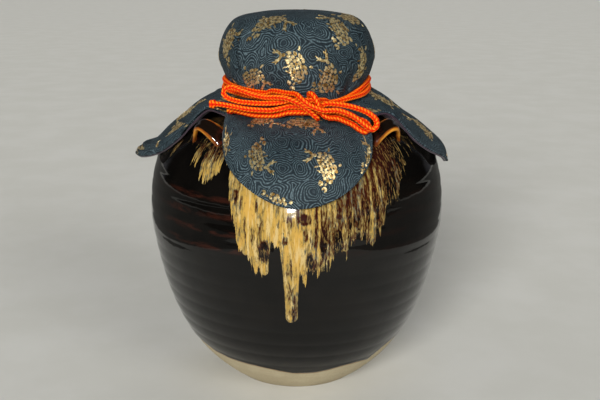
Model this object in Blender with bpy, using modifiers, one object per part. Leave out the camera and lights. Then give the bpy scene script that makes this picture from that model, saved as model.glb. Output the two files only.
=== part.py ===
"""Glazed stoneware tea storage jar with four ears, a wooden lid and a tied brocade cover.

The origin is the centre of the flat base, +Z runs up the jar's axis and -Y is the front.
Azimuths run from the front (0) towards +X. All sizes are in metres.
"""

import math

import bmesh
import bpy
import numpy as np
from mathutils import Matrix, Vector

# Jar
FOOT_RADIUS = 0.0617
BODY_RADIUS = 0.131
BELLY_HEIGHT = 0.150
SHOULDER_HEIGHT = 0.2425
WALL = 0.0068
FLOOR = 0.0095
NECK_RADIUS = 0.0532
NECK_WALL = 0.0075
NECK_HEIGHT = 0.0475
NECK_FILLET = 0.0045
LIP_OVERHANG = 0.0033
LIP_BEAD = 0.0075
FOOT_BEVEL = 0.0012
MOUTH_BEVEL = 0.0015

# Radius from the foot to the belly, and height up to the belly
LOWER_SHARES = (
    (0.19, 0.08), (0.43, 0.20), (0.655, 0.367), (0.82, 0.567), (0.925, 0.767), (0.985, 0.93),
)
# Radius from the neck to the belly, and height from the belly to the shoulder
UPPER_SHARES = (
    (1.0, 0.0), (0.998, 0.163), (0.978, 0.324), (0.944, 0.454), (0.902, 0.562), (0.848, 0.66),
    (0.768, 0.751), (0.668, 0.832), (0.556, 0.897), (0.432, 0.944), (0.29, 0.972), (0.165, 0.989),
)

# Out over the neck, and down from the lip's top
LIP_SHARES = ((0.0, 1.0), (0.7, 0.85), (1.0, 0.6), (1.0, 0.25), (0.55, 0.0))

# Ears
EAR_AZIMUTHS = {"front_left": -43.3, "front_right": 43.3, "back_left": -136.7, "back_right": 136.7}
EAR_FOOT_RADIUS = 0.101
EAR_HALF_SPAN = 0.0168
EAR_HEIGHT = 0.0165
EAR_THICKNESS = 0.0062
EAR_APEX_WIDTH = 0.0125
EAR_FOOT_WIDTH = 0.021
EAR_LEAN = math.radians(52)
EAR_SINK = 0.006
# How late the strap widens towards its feet
EAR_FLARE_POWER = 2.2

# Lid
LID_OVERHANG = 0.0004
LID_THICKNESS = 0.0155
LID_ROUND = 0.005
SPIGOT_DEPTH = 0.012
SPIGOT_CLEARANCE = 0.0009

# Cover
BROCADE = 0.0013
LINING = 0.0009
COVER_EASE = 0.0093
WADDING = 0.0176
LIFT_CLEARANCE = 0.0007
LOBE_FALL = 0.106
LOBE_WIDE_FALL = 0.060
LOBE_TO_EAR = 0.0098
NOTCH_DRAW_IN = 0.003
NOTCH_TO_EAR = 0.0156
COVER_REST_NECK = 0.0006
COVER_REST_HEM = 0.0034
EAR_LIFT = 0.0095
FOLD_DEPTH = 0.0022
LOBE_WAVE = 0.003
# Share of an eighth turn that a lobe's round end takes, the rest being its straight side to the notch
LOBE_END_SHARE = 0.6
LOBE_END_POWER = 1.08
# The side lobes stand off fully up to the first angle from their middle, the others lie from the second
STAND_OFF = (math.radians(25), math.radians(65))
# A lobe's edge is lifted fully up to the first reach from an ear's middle, and lies from the second
LIFT_REACH_SHARES = (0.944, 1.679)

# Cord
CORD = 0.0042
CORD_GAP = 0.001
CORD_KNOB = 1.25

GAP = 0.0003
TURNED_MERGE = 0.00001
SPUN_MERGE = 0.0001

# Mesh counts
JAR_STEPS = 60
TURNED_STEPS = 48
CLOTH_STEPS = 40
SKIRT_RINGS = 6
EAR_STEPS = 10
# Above 1 the cloth's rings crowd towards the tie
SKIRT_CROWDING = 1.15
TURN_POINTS = 24
CORD_STEP = 0.0044
# Steps of the smooth curve between two points of the cord's route
FINE_STEPS = 16

# Radius out to the drum's side, and height from the tie to the top, from the centre to the tie
DRUM_SHARES = (
    (0.0, 1.0), (0.45, 0.975), (0.75, 0.9), (0.895, 0.74), (0.985, 0.48), (1.0, 0.24), (0.95, 0.08),
)
# The ring at the tie's lower edge
TIE_RING = len(DRUM_SHARES) + 1
# The innermost rings of the lining lie flat on the lid
LINING_FLAT_RINGS = 4
# Reach out from the tie and drop below it, as shares of a lobe's fall
LEFT_LOBE_SHARES = (
    (0.13, 0.065), (0.25, 0.12), (0.35, 0.2), (0.435, 0.31), (0.57, 0.43), (0.71, 0.51),
    (0.875, 0.63),
)
RIGHT_LOBE_SHARES = (
    (0.115, 0.045), (0.23, 0.12), (0.345, 0.225), (0.45, 0.29), (0.6, 0.42), (0.7, 0.52),
    (0.69, 0.64),
)

# Height of the band of cord above the shoulder, at the front and round the back
BAND_FRONT = 0.0115
BAND_BACK = 0.0230
BAND_LEFT_RISE = 0.0070
# Azimuths between which the band rises, and the strands turn from lying one outside the other to a stack
BAND_RISE = (math.radians(18), math.radians(85))
STACK_RIGHT = (math.radians(30), math.radians(85))
STACK_LEFT = (math.radians(4), math.radians(22))
STACK_LEFT_BACK = (math.radians(60), math.radians(85))
# How much of the stack the left side has before the second rise
STACK_LEFT_SHARE = 0.55
STACK_TILT = math.radians(15)
BACK_PASS = math.radians(24)

# The bow's route outside the neck turns, chosen by hand
ROUTE_END_LEFT = (
    (-0.0705, -0.0660, 0.2550), (-0.0610, -0.0690, 0.2550), (-0.0500, -0.0720, 0.2535),
    (-0.0395, -0.0745, 0.2520), (-0.0290, -0.0765, 0.2515), (-0.0205, -0.0775, 0.2515),
    (-0.0125, -0.0780, 0.2530), (-0.0060, -0.0776, 0.2545), (0.0020, -0.0775, 0.2545),
    (0.0100, -0.0775, 0.2545), (0.0180, -0.0775, 0.2549),
)
ROUTE_LOOP_RIGHT_OUTER = (
    (0.0240, -0.0790, 0.2570), (0.0325, -0.0815, 0.2570), (0.0410, -0.0845, 0.2560),
    (0.0495, -0.0880, 0.2540), (0.0560, -0.0915, 0.2515), (0.0610, -0.0940, 0.2475),
    (0.0620, -0.0965, 0.2430), (0.0585, -0.0980, 0.2400), (0.0530, -0.0980, 0.2430),
    (0.0465, -0.0960, 0.2480), (0.0395, -0.0930, 0.2515), (0.0315, -0.0900, 0.2535),
)
ROUTE_WRAP_OUT = (
    (0.0220, -0.0880, 0.2530), (0.0160, -0.0875, 0.2545), (0.0100, -0.0870, 0.2570),
    (0.0050, -0.0860, 0.2605), (0.0015, -0.0825, 0.2635), (-0.0010, -0.0785, 0.2645),
    (-0.0045, -0.0750, 0.2645), (-0.0095, -0.0710, 0.2645), (-0.0155, -0.0665, 0.2650),
    (-0.0205, -0.0615, 0.2645),
)
ROUTE_LOOP_LEFT = (
    (0.0225, -0.0685, 0.2580), (0.0190, -0.0725, 0.2587), (0.0160, -0.0760, 0.2593),
    (0.0115, -0.0775, 0.2593), (0.0030, -0.0775, 0.2593), (-0.0060, -0.0770, 0.2593),
    (-0.0140, -0.0760, 0.2575), (-0.0245, -0.0740, 0.2565), (-0.0350, -0.0720, 0.2565),
    (-0.0455, -0.0685, 0.2570), (-0.0540, -0.0660, 0.2590), (-0.0585, -0.0655, 0.2625),
    (-0.0575, -0.0650, 0.2665), (-0.0515, -0.0660, 0.2685), (-0.0435, -0.0685, 0.2660),
    (-0.0340, -0.0710, 0.2630), (-0.0245, -0.0740, 0.2615), (-0.0170, -0.0775, 0.2620),
)
ROUTE_WRAP_IN = (
    (-0.0090, -0.0808, 0.2618), (-0.0025, -0.0825, 0.2597), (0.0035, -0.0825, 0.2565),
    (0.0090, -0.0825, 0.2525), (0.0135, -0.0825, 0.2485), (0.0160, -0.0812, 0.2462),
    (0.0165, -0.0778, 0.2452), (0.0147, -0.0739, 0.2466), (0.0125, -0.0720, 0.2505),
    (0.0110, -0.0720, 0.2565), (0.0100, -0.0730, 0.2620), (0.0105, -0.0770, 0.2648),
    (0.0135, -0.0810, 0.2632), (0.0165, -0.0825, 0.2580), (0.0190, -0.0825, 0.2520),
    (0.0220, -0.0825, 0.2480),
)
ROUTE_LOOP_RIGHT_INNER = (
    (0.0265, -0.0830, 0.2465), (0.0325, -0.0860, 0.2465), (0.0385, -0.0890, 0.2445),
    (0.0440, -0.0920, 0.2425), (0.0485, -0.0940, 0.2395), (0.0530, -0.0945, 0.2375),
    (0.0565, -0.0930, 0.2400), (0.0540, -0.0895, 0.2440), (0.0465, -0.0865, 0.2465),
    (0.0380, -0.0830, 0.2490), (0.0295, -0.0800, 0.2505), (0.0230, -0.0780, 0.2501),
)
ROUTE_END_RIGHT = (
    (0.0160, -0.0775, 0.2499), (0.0080, -0.0775, 0.2498), (0.0000, -0.0770, 0.2498),
    (-0.0080, -0.0760, 0.2493), (-0.0160, -0.0745, 0.2470), (-0.0245, -0.0730, 0.2465),
    (-0.0335, -0.0705, 0.2465), (-0.0425, -0.0680, 0.2480), (-0.0505, -0.0655, 0.2495),
    (-0.0565, -0.0635, 0.2505),
)


def clear_scene():
    for item in list(bpy.data.objects):
        bpy.data.objects.remove(item, do_unlink=True)


def material(name, hex_colour, roughness, metallic=0.0):
    made = bpy.data.materials.new(name)
    made.use_nodes = True
    shader = made.node_tree.nodes["Principled BSDF"]
    parts = [int(hex_colour[i:i + 2], 16) / 255 for i in (1, 3, 5)]
    linear = [c / 12.92 if c <= 0.04045 else ((c + 0.055) / 1.055) ** 2.4 for c in parts]
    shader.inputs["Base Color"].default_value = (*linear, 1)
    shader.inputs["Roughness"].default_value = roughness
    shader.inputs["Metallic"].default_value = metallic
    return made


def add_object(name, mesh, collection, finish=None):
    made = bpy.data.objects.new(name, mesh)
    collection.objects.link(made)
    if finish:
        mesh.materials.append(finish)
    return made


def step_between(low, high, value):
    """0 below low, 1 above high, and a smooth rise between them."""
    share = min(max((value - low) / (high - low), 0), 1)
    return share * share * (3 - 2 * share)


def on_azimuth(radius, azimuth, height):
    return Vector((radius * math.sin(azimuth), -radius * math.cos(azimuth), height))


def along(points, distance):
    """The point that lies distance along a line of points."""
    for start, end in zip(points, points[1:]):
        length = math.dist(start, end)
        if distance <= length:
            share = distance / length
            return tuple(a + (b - a) * share for a, b in zip(start, end))
        distance -= length
    start, end = points[-2], points[-1]
    share = 1 + distance / math.dist(start, end)
    return tuple(a + (b - a) * share for a, b in zip(start, end))


def offset_line(points, distance):
    """A line of (radius, height) points moved distance to its outer side, where it runs upwards."""
    moved = []
    for index, (radius, height) in enumerate(points):
        before = points[max(index - 1, 0)]
        after = points[min(index + 1, len(points) - 1)]
        run = Vector((after[0] - before[0], after[1] - before[1])).normalized()
        moved.append((radius + run.y * distance, height - run.x * distance))
    return moved


def belly_line():
    """The outside of the jar from the foot to the shoulder, upwards."""
    spread = BODY_RADIUS - FOOT_RADIUS
    line = [(FOOT_RADIUS + spread * out, BELLY_HEIGHT * up) for out, up in LOWER_SHARES]
    spread = BODY_RADIUS - NECK_RADIUS
    rise = SHOULDER_HEIGHT - BELLY_HEIGHT
    line += [(NECK_RADIUS + spread * out, BELLY_HEIGHT + rise * up) for out, up in UPPER_SHARES]
    return line


def lip_top():
    return SHOULDER_HEIGHT + NECK_HEIGHT


def lip_radius():
    return NECK_RADIUS + LIP_OVERHANG


def mouth_radius():
    return NECK_RADIUS - NECK_WALL


def outer_line():
    """The outside of the jar from the base's edge to the top of the lip, upwards."""
    top = lip_top()
    line = [(FOOT_RADIUS - FOOT_BEVEL, 0), (FOOT_RADIUS, FOOT_BEVEL)] + belly_line()
    line.append((NECK_RADIUS + NECK_FILLET, SHOULDER_HEIGHT))
    line.append((NECK_RADIUS + NECK_FILLET / 3, SHOULDER_HEIGHT + NECK_FILLET / 2))
    line.append((NECK_RADIUS, SHOULDER_HEIGHT + NECK_FILLET))
    line += [(NECK_RADIUS + LIP_OVERHANG * out, top - LIP_BEAD * down) for out, down in LIP_SHARES]
    return line


def inner_line():
    """The inside of the jar from the edge of its floor to the mouth, upwards."""
    walls = offset_line(belly_line(), -WALL)
    line = [(r, z) for r, z in walls if z > FLOOR + WALL and r > mouth_radius() + WALL]
    line = [(line[0][0] - WALL, FLOOR)] + line
    line.append((mouth_radius() + NECK_FILLET / 2, SHOULDER_HEIGHT - WALL))
    line.append((mouth_radius(), SHOULDER_HEIGHT))
    line.append((mouth_radius(), lip_top() - MOUTH_BEVEL))
    line.append((mouth_radius() + MOUTH_BEVEL, lip_top()))
    return line


def turn(name, line, collection, finish=None, steps=TURNED_STEPS):
    """A turned solid from a line of (radius, height) points that runs down its outer side."""
    mesh = bpy.data.meshes.new(name)
    edges = [(i, i + 1) for i in range(len(line) - 1)]
    mesh.from_pydata([(radius, 0, height) for radius, height in line], edges, [])
    made = add_object(name, mesh, collection, finish)
    screw = made.modifiers.new("turn", "SCREW")
    screw.steps = steps
    screw.render_steps = steps
    screw.use_merge_vertices = True
    screw.merge_threshold = TURNED_MERGE
    screw.use_smooth_shade = True
    return made


def make_jar(collection, finish):
    inside = [(0, FLOOR)] + inner_line()
    outside = list(reversed(outer_line())) + [(0, 0)]
    return turn("jar_body", inside + outside, collection, finish, JAR_STEPS)


def shoulder_cutter(cutters):
    """The jar without its hollow, one gap larger, which cuts the ears' feet."""
    grown = offset_line(belly_line(), GAP)
    bottom = (0, grown[0][1])
    top = (0, SHOULDER_HEIGHT)
    cutter = turn("shoulder_cutter", [top] + list(reversed(grown)) + [bottom], cutters, None, JAR_STEPS)
    cutter.hide_render = True
    cutter.display_type = "WIRE"
    return cutter


def ear_outline(share):
    """Across and up for a share from -1, one foot, to 1, the other: a round arch on slanted legs."""
    rise = EAR_HEIGHT - EAR_THICKNESS / 2 + EAR_SINK
    at_surface = math.acos(EAR_SINK / rise) / (math.pi / 2)
    across = (EAR_HALF_SPAN - EAR_THICKNESS / 2) / at_surface * share
    return across, rise * math.cos(share * math.pi / 2) - EAR_SINK


def make_ear(name, azimuth, cutter, collection, finish):
    """A clay strap bent into an arch across the slope of the shoulder."""
    bm = bmesh.new()
    bmesh.ops.create_grid(bm, x_segments=EAR_STEPS, y_segments=2, size=1)
    for vert in bm.verts:
        share, side = vert.co.x, vert.co.y
        across, up = ear_outline(share)
        flare = abs(share) ** EAR_FLARE_POWER
        width = EAR_APEX_WIDTH + (EAR_FOOT_WIDTH - EAR_APEX_WIDTH) * flare
        vert.co = (across, side * width / 2, up)
    mesh = bpy.data.meshes.new(name)
    bm.to_mesh(mesh)
    bm.free()
    made = add_object(name, mesh, collection, finish)
    seat_height = height_on_shoulder(EAR_FOOT_RADIUS)
    out = Matrix.Rotation(azimuth, 4, "Z")
    lean = Matrix.Rotation(math.pi / 2 - EAR_LEAN, 4, "X")
    made.matrix_world = Matrix.Translation(on_azimuth(EAR_FOOT_RADIUS, azimuth, seat_height)) @ out @ lean
    shell = made.modifiers.new("strap", "SOLIDIFY")
    shell.thickness = EAR_THICKNESS
    shell.offset = 0
    shell.use_even_offset = True
    round_off = made.modifiers.new("round", "SUBSURF")
    round_off.levels = 1
    round_off.render_levels = 1
    cut = made.modifiers.new("foot", "BOOLEAN")
    cut.operation = "DIFFERENCE"
    cut.solver = "EXACT"
    cut.object = cutter
    mesh.shade_smooth()
    return made


def height_on_shoulder(radius):
    """The height of the jar's shoulder at a radius."""
    line = [point for point in belly_line() if point[1] >= BELLY_HEIGHT]
    line.append((NECK_RADIUS, SHOULDER_HEIGHT))
    for (r_low, z_low), (r_high, z_high) in zip(line, line[1:]):
        if r_high <= radius <= r_low:
            return z_low + (z_high - z_low) * (r_low - radius) / (r_low - r_high)
    return BELLY_HEIGHT if radius > NECK_RADIUS else SHOULDER_HEIGHT


def lid_radius():
    return lip_radius() + LID_OVERHANG


def lid_bottom():
    return lip_top() + GAP


def lid_top():
    return lid_bottom() + LID_THICKNESS


def make_lid(collection, finish):
    """A turned wooden lid: a disc on the lip and a spigot in the mouth."""
    spigot = mouth_radius() - SPIGOT_CLEARANCE
    low = lid_bottom() - SPIGOT_DEPTH
    line = [(0, lid_top()), (lid_radius() - LID_ROUND, lid_top())]
    for turn_step in (1, 2):
        angle = turn_step * math.pi / 6
        line.append((
            lid_radius() - LID_ROUND * (1 - math.sin(angle)),
            lid_top() - LID_ROUND * (1 - math.cos(angle)),
        ))
    line += [(lid_radius(), lid_top() - LID_ROUND), (lid_radius(), lid_bottom() + LID_ROUND / 4)]
    line += [(lid_radius() - LID_ROUND / 4, lid_bottom()), (spigot, lid_bottom())]
    line += [(spigot, low + LID_ROUND / 2), (spigot - LID_ROUND / 2, low), (0, low)]
    return turn("mouth_lid", line, collection, finish)


def tie_radius():
    """The cover's middle surface at the tie: its lining clears the lip when the cover is lifted."""
    return (lip_radius() + LIFT_CLEARANCE + LINING + GAP / 2) / math.cos(math.pi / CLOTH_STEPS)


def drum_radius():
    return lid_radius() + COVER_EASE


def lining_height():
    """The cover's middle surface over the lid."""
    return lid_top() + GAP + LINING + GAP / 2


def drum_top():
    return lining_height() + GAP / 2 + WADDING + GAP / 2


def band_rise(azimuth):
    return step_between(*BAND_RISE, abs(azimuth))


def stacked(azimuth):
    """0 where the two strands of the band lie one outside the other, 1 where they stack."""
    if azimuth > 0:
        return step_between(*STACK_RIGHT, azimuth)
    near, far = step_between(*STACK_LEFT, -azimuth), step_between(*STACK_LEFT_BACK, -azimuth)
    return far + (near - far) * STACK_LEFT_SHARE


def band_height(azimuth):
    """The height of the middle of the band of cord."""
    rise = band_rise(azimuth)
    left = BAND_LEFT_RISE * (1 - rise) * step_between(0, BAND_RISE[0], -azimuth)
    return SHOULDER_HEIGHT + BAND_FRONT + (BAND_BACK - BAND_FRONT) * rise + left


def band_half(azimuth):
    """Half the height of the band of cord."""
    return (CORD + CORD_GAP) / 2 * (1 + stacked(azimuth))


def fold_at(azimuth):
    """0 to 1, largest at the four corners where the cloth is folded under the tie."""
    return max(0, -math.cos(4 * azimuth)) ** 2


def drum_height(azimuth, up):
    """Height on the drum for a share up from the tie's upper edge, which the azimuth moves."""
    back = band_height(math.pi) + band_half(math.pi)
    low = band_height(azimuth) + band_half(azimuth)
    return drum_top() - (drum_top() - back) * (1 - up) + (low - back) * (1 - up) ** 3


def drum_point(azimuth, ring, inside):
    """A point on the cover's middle surface down to the tie, whose two edges are the last rings."""
    if ring == len(DRUM_SHARES):
        return on_azimuth(tie_radius(), azimuth, drum_height(azimuth, 0))
    if ring == TIE_RING:
        return on_azimuth(tie_radius(), azimuth, band_height(azimuth) - band_half(azimuth))
    out, up = DRUM_SHARES[ring]
    folded = FOLD_DEPTH * fold_at(azimuth) * step_between(0.9, 0.1, up) if ring >= LINING_FLAT_RINGS else 0
    height = lining_height() if inside and ring < LINING_FLAT_RINGS else drum_height(azimuth, up)
    return on_azimuth(drum_radius() * out + folded, azimuth, height)


def rest_line():
    """The line that a lobe lies on: the shoulder, out of which the cover's lower layers are kept."""
    layers = GAP + LINING + GAP / 2
    line = [point for point in belly_line() if point[1] > BELLY_HEIGHT]
    close, apart = offset_line(line, layers + COVER_REST_NECK), offset_line(line, layers + COVER_REST_HEM)
    rest = []
    for (r_close, z_close), (r_apart, z_apart) in zip(close, apart):
        share = ((r_close - NECK_RADIUS) / (BODY_RADIUS - NECK_RADIUS)) ** 2
        rest.append((r_close + (r_apart - r_close) * share, z_close + (z_apart - z_close) * share))
    return list(reversed(rest))


def front_line(azimuth):
    """The fall of a lobe that lies on the shoulder, from the tie's lower edge outwards."""
    start = (tie_radius(), band_height(azimuth) - band_half(azimuth))
    reach = tie_radius() + CORD / 2
    return [start] + [point for point in rest_line() if point[0] > reach]


def side_line(azimuth, shares):
    """The fall of a lobe that stands off the shoulder, kept above it."""
    start = (tie_radius(), band_height(azimuth) - band_half(azimuth))
    floor = rest_line()
    line = [start]
    for out, down in shares:
        radius = start[0] + LOBE_FALL * out
        height = start[1] - LOBE_FALL * down
        for (r_low, z_low), (r_high, z_high) in zip(floor, floor[1:]):
            if r_low <= radius <= r_high:
                height = max(height, z_low + (z_high - z_low) * (radius - r_low) / (r_high - r_low))
        line.append((radius, height))
    return line


def ear_lift(azimuth, radius):
    """How far a lobe's edge is lifted where it passes over the foot of an ear."""
    away = min(abs(abs(azimuth) - math.radians(abs(ear))) for ear in EAR_AZIMUTHS.values())
    reach = [share * EAR_HALF_SPAN / EAR_FOOT_RADIUS for share in LIFT_REACH_SHARES]
    beside = 1 - step_between(*reach, away)
    inner = EAR_FOOT_RADIUS - EAR_FOOT_WIDTH
    outer = EAR_FOOT_RADIUS + EAR_FOOT_WIDTH / 2
    near = step_between(inner, EAR_FOOT_RADIUS - EAR_FOOT_WIDTH / 3, radius)
    return EAR_LIFT * beside * near * (1 - step_between(outer - WALL / 2, outer + WALL, radius))


def fall_point(azimuth, fall):
    """Radius and height of the cover at a length below the tie."""
    from_side = abs(abs(azimuth) - math.pi / 2)
    side = 1 - step_between(*STAND_OFF, from_side)
    front = along(front_line(azimuth), fall)
    shares = LEFT_LOBE_SHARES if azimuth < 0 else RIGHT_LOBE_SHARES
    aside = along(side_line(azimuth, shares), fall)
    radius, height = (a + (b - a) * side for a, b in zip(front, aside))
    wave = LOBE_WAVE * side * (fall / LOBE_FALL) ** 2 * (0.5 + 0.5 * math.cos(from_side * 9))
    return radius, height + wave + ear_lift(azimuth, radius)


def lobe_half_width():
    """Half of a lobe's width, which leaves the ears free."""
    return EAR_FOOT_RADIUS * math.sin(math.radians(EAR_AZIMUTHS["front_right"])) - LOBE_TO_EAR


def notch_fall():
    """The cover's length below the tie between two lobes, over an ear."""
    return EAR_FOOT_RADIUS - tie_radius() - NOTCH_TO_EAR


def hem(local, centre):
    """Azimuth within a lobe and fall of the hem for an azimuth of the flat cloth within that lobe."""
    share = abs(local) / (math.pi / 4)
    half = lobe_half_width()
    if share <= LOBE_END_SHARE:
        angle = share / LOBE_END_SHARE * math.pi / 2
        across = half * math.sin(angle)
        fall = LOBE_WIDE_FALL + (LOBE_FALL - LOBE_WIDE_FALL) * math.cos(angle) ** LOBE_END_POWER
    else:
        down = (share - LOBE_END_SHARE) / (1 - LOBE_END_SHARE)
        across = half - NOTCH_DRAW_IN * down
        fall = LOBE_WIDE_FALL + (notch_fall() - LOBE_WIDE_FALL) * down
    radius = fall_point(centre, fall)[0]
    reach = math.asin(min(across / radius, 1))
    if math.isclose(share, 1):
        reach = math.pi / 4
    return math.copysign(reach, local), fall


def skirt_point(azimuth, share):
    """A point on the cover's middle surface below the tie, share of the way to the hem."""
    centre = round(azimuth / (math.pi / 2)) * math.pi / 2
    local = azimuth - centre
    hem_local, hem_fall = hem(local, centre)
    at = centre + local + (hem_local - local) * share
    at = (at + math.pi) % (2 * math.pi) - math.pi
    radius, height = fall_point(at, hem_fall * share)
    return on_azimuth(radius, at, height)


def make_cloth(name, inside, collection, finish):
    """One layer of the cover: a flat spun disc laid over the lid, the tie and the shoulder."""
    rings = TIE_RING + SKIRT_RINGS
    bm = bmesh.new()
    line = [bm.verts.new((0, -ring, 0)) for ring in range(rings + 1)]
    edges = [bm.edges.new(pair) for pair in zip(line, line[1:])]
    bmesh.ops.spin(
        bm, geom=line + edges, axis=(0, 0, 1), angle=2 * math.pi, steps=CLOTH_STEPS, use_merge=True,
    )
    bmesh.ops.remove_doubles(bm, verts=bm.verts, dist=SPUN_MERGE)
    for vert in bm.verts:
        ring = round(vert.co.xy.length)
        azimuth = math.atan2(vert.co.x, -vert.co.y)
        if ring <= TIE_RING:
            vert.co = drum_point(azimuth, ring, inside)
        else:
            vert.co = skirt_point(azimuth, ((ring - TIE_RING) / SKIRT_RINGS) ** SKIRT_CROWDING)
    bmesh.ops.recalc_face_normals(bm, faces=bm.faces)
    if max(bm.faces, key=lambda face: face.calc_center_median().z).normal.z < 0:
        bmesh.ops.reverse_faces(bm, faces=bm.faces)
    bmesh.ops.triangulate(bm, faces=bm.faces)
    mesh = bpy.data.meshes.new(name)
    bm.to_mesh(mesh)
    bm.free()
    made = add_object(name, mesh, collection, finish)
    side = -1 if inside else 1
    part_layers = made.modifiers.new("layer", "DISPLACE")
    part_layers.mid_level = 0
    part_layers.strength = side * GAP / 2
    shell = made.modifiers.new("thickness", "SOLIDIFY")
    shell.thickness = LINING if inside else BROCADE
    shell.offset = side
    mesh.shade_smooth()
    return made


def make_wadding(collection, finish):
    """The quilt between brocade and lining, domed to the cover's top."""
    low = lining_height() + GAP / 2
    inner_shares = DRUM_SHARES[:LINING_FLAT_RINGS]
    line = [(drum_radius() * out, drum_height(0, up) - GAP) for out, up in inner_shares]
    edge = line[-1][0] - GAP
    line[-1] = (edge, line[-1][1] - GAP)
    line += [(edge, low + LID_ROUND / 4), (edge - LID_ROUND / 4, low), (0, low)]
    return turn("cover_wadding", line, collection, finish)


def neck_winding():
    """Two turns of cord round the neck: from the knot's left round the back, behind it and round again."""
    middle = tie_radius() + GAP / 2 + BROCADE + CORD_GAP + CORD / 2
    apart = CORD + CORD_GAP
    end = 4 * math.pi - BACK_PASS
    steps = round((end - BACK_PASS) / (2 * math.pi) * TURN_POINTS)
    points = []
    for index in range(steps + 1):
        wound = BACK_PASS + (end - BACK_PASS) * index / steps
        azimuth = (math.pi - wound) % (2 * math.pi) - math.pi
        stack = stacked(azimuth)
        second = step_between(*(2 * math.pi + side for side in STACK_LEFT), wound)
        angle = STACK_TILT - (STACK_TILT + math.pi / 2) * stack
        radius = middle + apart * second * math.cos(angle)
        height = band_height(azimuth) + apart * (stack / 2 + second * math.sin(angle))
        points.append(tuple(on_azimuth(radius, azimuth, height)))
    return points


def cord_route():
    """The whole cord: left end, outer right loop, neck, left loop, inner right loop, right end."""
    route = list(ROUTE_END_LEFT + ROUTE_LOOP_RIGHT_OUTER + ROUTE_WRAP_OUT)
    route += neck_winding()
    route += ROUTE_LOOP_LEFT + ROUTE_WRAP_IN + ROUTE_LOOP_RIGHT_INNER + ROUTE_END_RIGHT
    return route


def smooth_route(route, step):
    """Even points along a smooth curve through the route."""
    points = np.array([route[0]] + list(route) + [route[-1]])
    fine = []
    for p0, p1, p2, p3 in zip(points, points[1:], points[2:], points[3:]):
        for share in np.linspace(0, 1, FINE_STEPS, endpoint=False):
            square = (2 * p0 - 5 * p1 + 4 * p2 - p3) * share ** 2
            cube = (3 * p1 - p0 - 3 * p2 + p3) * share ** 3
            fine.append((2 * p1 + (p2 - p0) * share + square + cube) / 2)
    fine.append(points[-1])
    fine = np.array(fine)
    travelled = np.concatenate([[0], np.cumsum(np.linalg.norm(np.diff(fine, axis=0), axis=1))])
    count = max(int(round(travelled[-1] / step)), 2)
    places = np.linspace(0, travelled[-1], count + 1)
    even = [np.interp(places, travelled, fine[:, axis]) for axis in range(3)]
    return np.stack(even, axis=1), travelled[-1]


def least_gap(points):
    """The least clear distance between stretches of the cord that lie over three diameters apart on it."""
    fine, length = smooth_route(points, CORD / 4)
    step = length / (len(fine) - 1)
    skip = int(3 * CORD / step)
    least, place = math.inf, None
    for index in range(len(fine) - skip):
        away = np.linalg.norm(fine[index + skip:] - fine[index], axis=1)
        nearest = int(away.argmin())
        if away[nearest] < least:
            least, place = away[nearest], (fine[index], fine[index + skip + nearest])
    return least - CORD, place


def make_cord(collection, finish):
    """The braided tie as one unbroken tube with a bound knob at each end."""
    points, length = smooth_route(cord_route(), CORD_STEP)
    curve = bpy.data.curves.new("tie_cord", "CURVE")
    curve.dimensions = "3D"
    curve.bevel_depth = CORD / 2
    curve.bevel_resolution = 1
    curve.use_fill_caps = True
    spline = curve.splines.new("POLY")
    spline.points.add(len(points) - 1)
    for point, place in zip(spline.points, points):
        point.co = (*place, 1)
    for end in (0, 1, -1, -2):
        spline.points[end].radius = CORD_KNOB
    made = bpy.data.objects.new("tie_cord", curve)
    collection.objects.link(made)
    curve.materials.append(finish)
    gap, place = least_gap([tuple(point) for point in points])
    print(f"tie_cord: length {length:.3f} m, {len(points)} points, least gap to itself {gap * 1000:.2f} mm")
    print("tie_cord: nearest places", *[tuple(round(float(v), 4) for v in spot) for spot in place])
    return made


def main():
    clear_scene()
    jar = bpy.data.collections.new("tea_storage_jar")
    cutters = bpy.data.collections.new("cutters")
    for collection in (jar, cutters):
        bpy.context.scene.collection.children.link(collection)
    glaze = material("dark_glaze", "#1B1512", 0.12)
    make_jar(jar, glaze)
    cutter = shoulder_cutter(cutters)
    for place, azimuth in EAR_AZIMUTHS.items():
        make_ear("ear_" + place, math.radians(azimuth), cutter, jar, glaze)
    make_lid(jar, material("lid_wood", "#B98B55", 0.6))
    make_cloth("cover_brocade", False, jar, material("brocade", "#2B3C47", 0.75))
    make_cloth("cover_lining", True, jar, material("lining", "#2B1A26", 0.6))
    make_wadding(jar, material("cotton", "#E8E2D4", 0.9))
    make_cord(jar, material("cord_silk", "#E8521E", 0.55))


main()
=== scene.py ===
"""The looks of a glazed tea storage jar with a tied brocade cover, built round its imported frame.

Metres, +Z up, the front towards -Y. Azimuths run from the front (0) towards +X.
"""

import math
from functools import partial

import bpy
import numpy as np
from mathutils import Matrix, Vector
from mathutils.bvhtree import BVHTree
from mathutils.geometry import barycentric_transform


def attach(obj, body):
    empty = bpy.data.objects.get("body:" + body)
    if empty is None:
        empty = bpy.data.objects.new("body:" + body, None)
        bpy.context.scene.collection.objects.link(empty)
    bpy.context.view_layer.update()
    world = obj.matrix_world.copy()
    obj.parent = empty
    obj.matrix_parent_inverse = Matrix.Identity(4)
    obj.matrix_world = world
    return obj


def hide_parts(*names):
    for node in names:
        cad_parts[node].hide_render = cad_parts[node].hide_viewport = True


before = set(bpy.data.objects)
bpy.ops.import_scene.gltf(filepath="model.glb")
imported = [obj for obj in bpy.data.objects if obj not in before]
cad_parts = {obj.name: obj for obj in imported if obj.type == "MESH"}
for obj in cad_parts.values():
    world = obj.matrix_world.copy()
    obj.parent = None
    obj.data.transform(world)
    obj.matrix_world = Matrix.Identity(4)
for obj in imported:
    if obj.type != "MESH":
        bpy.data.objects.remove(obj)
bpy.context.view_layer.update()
MM = 0.001

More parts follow.
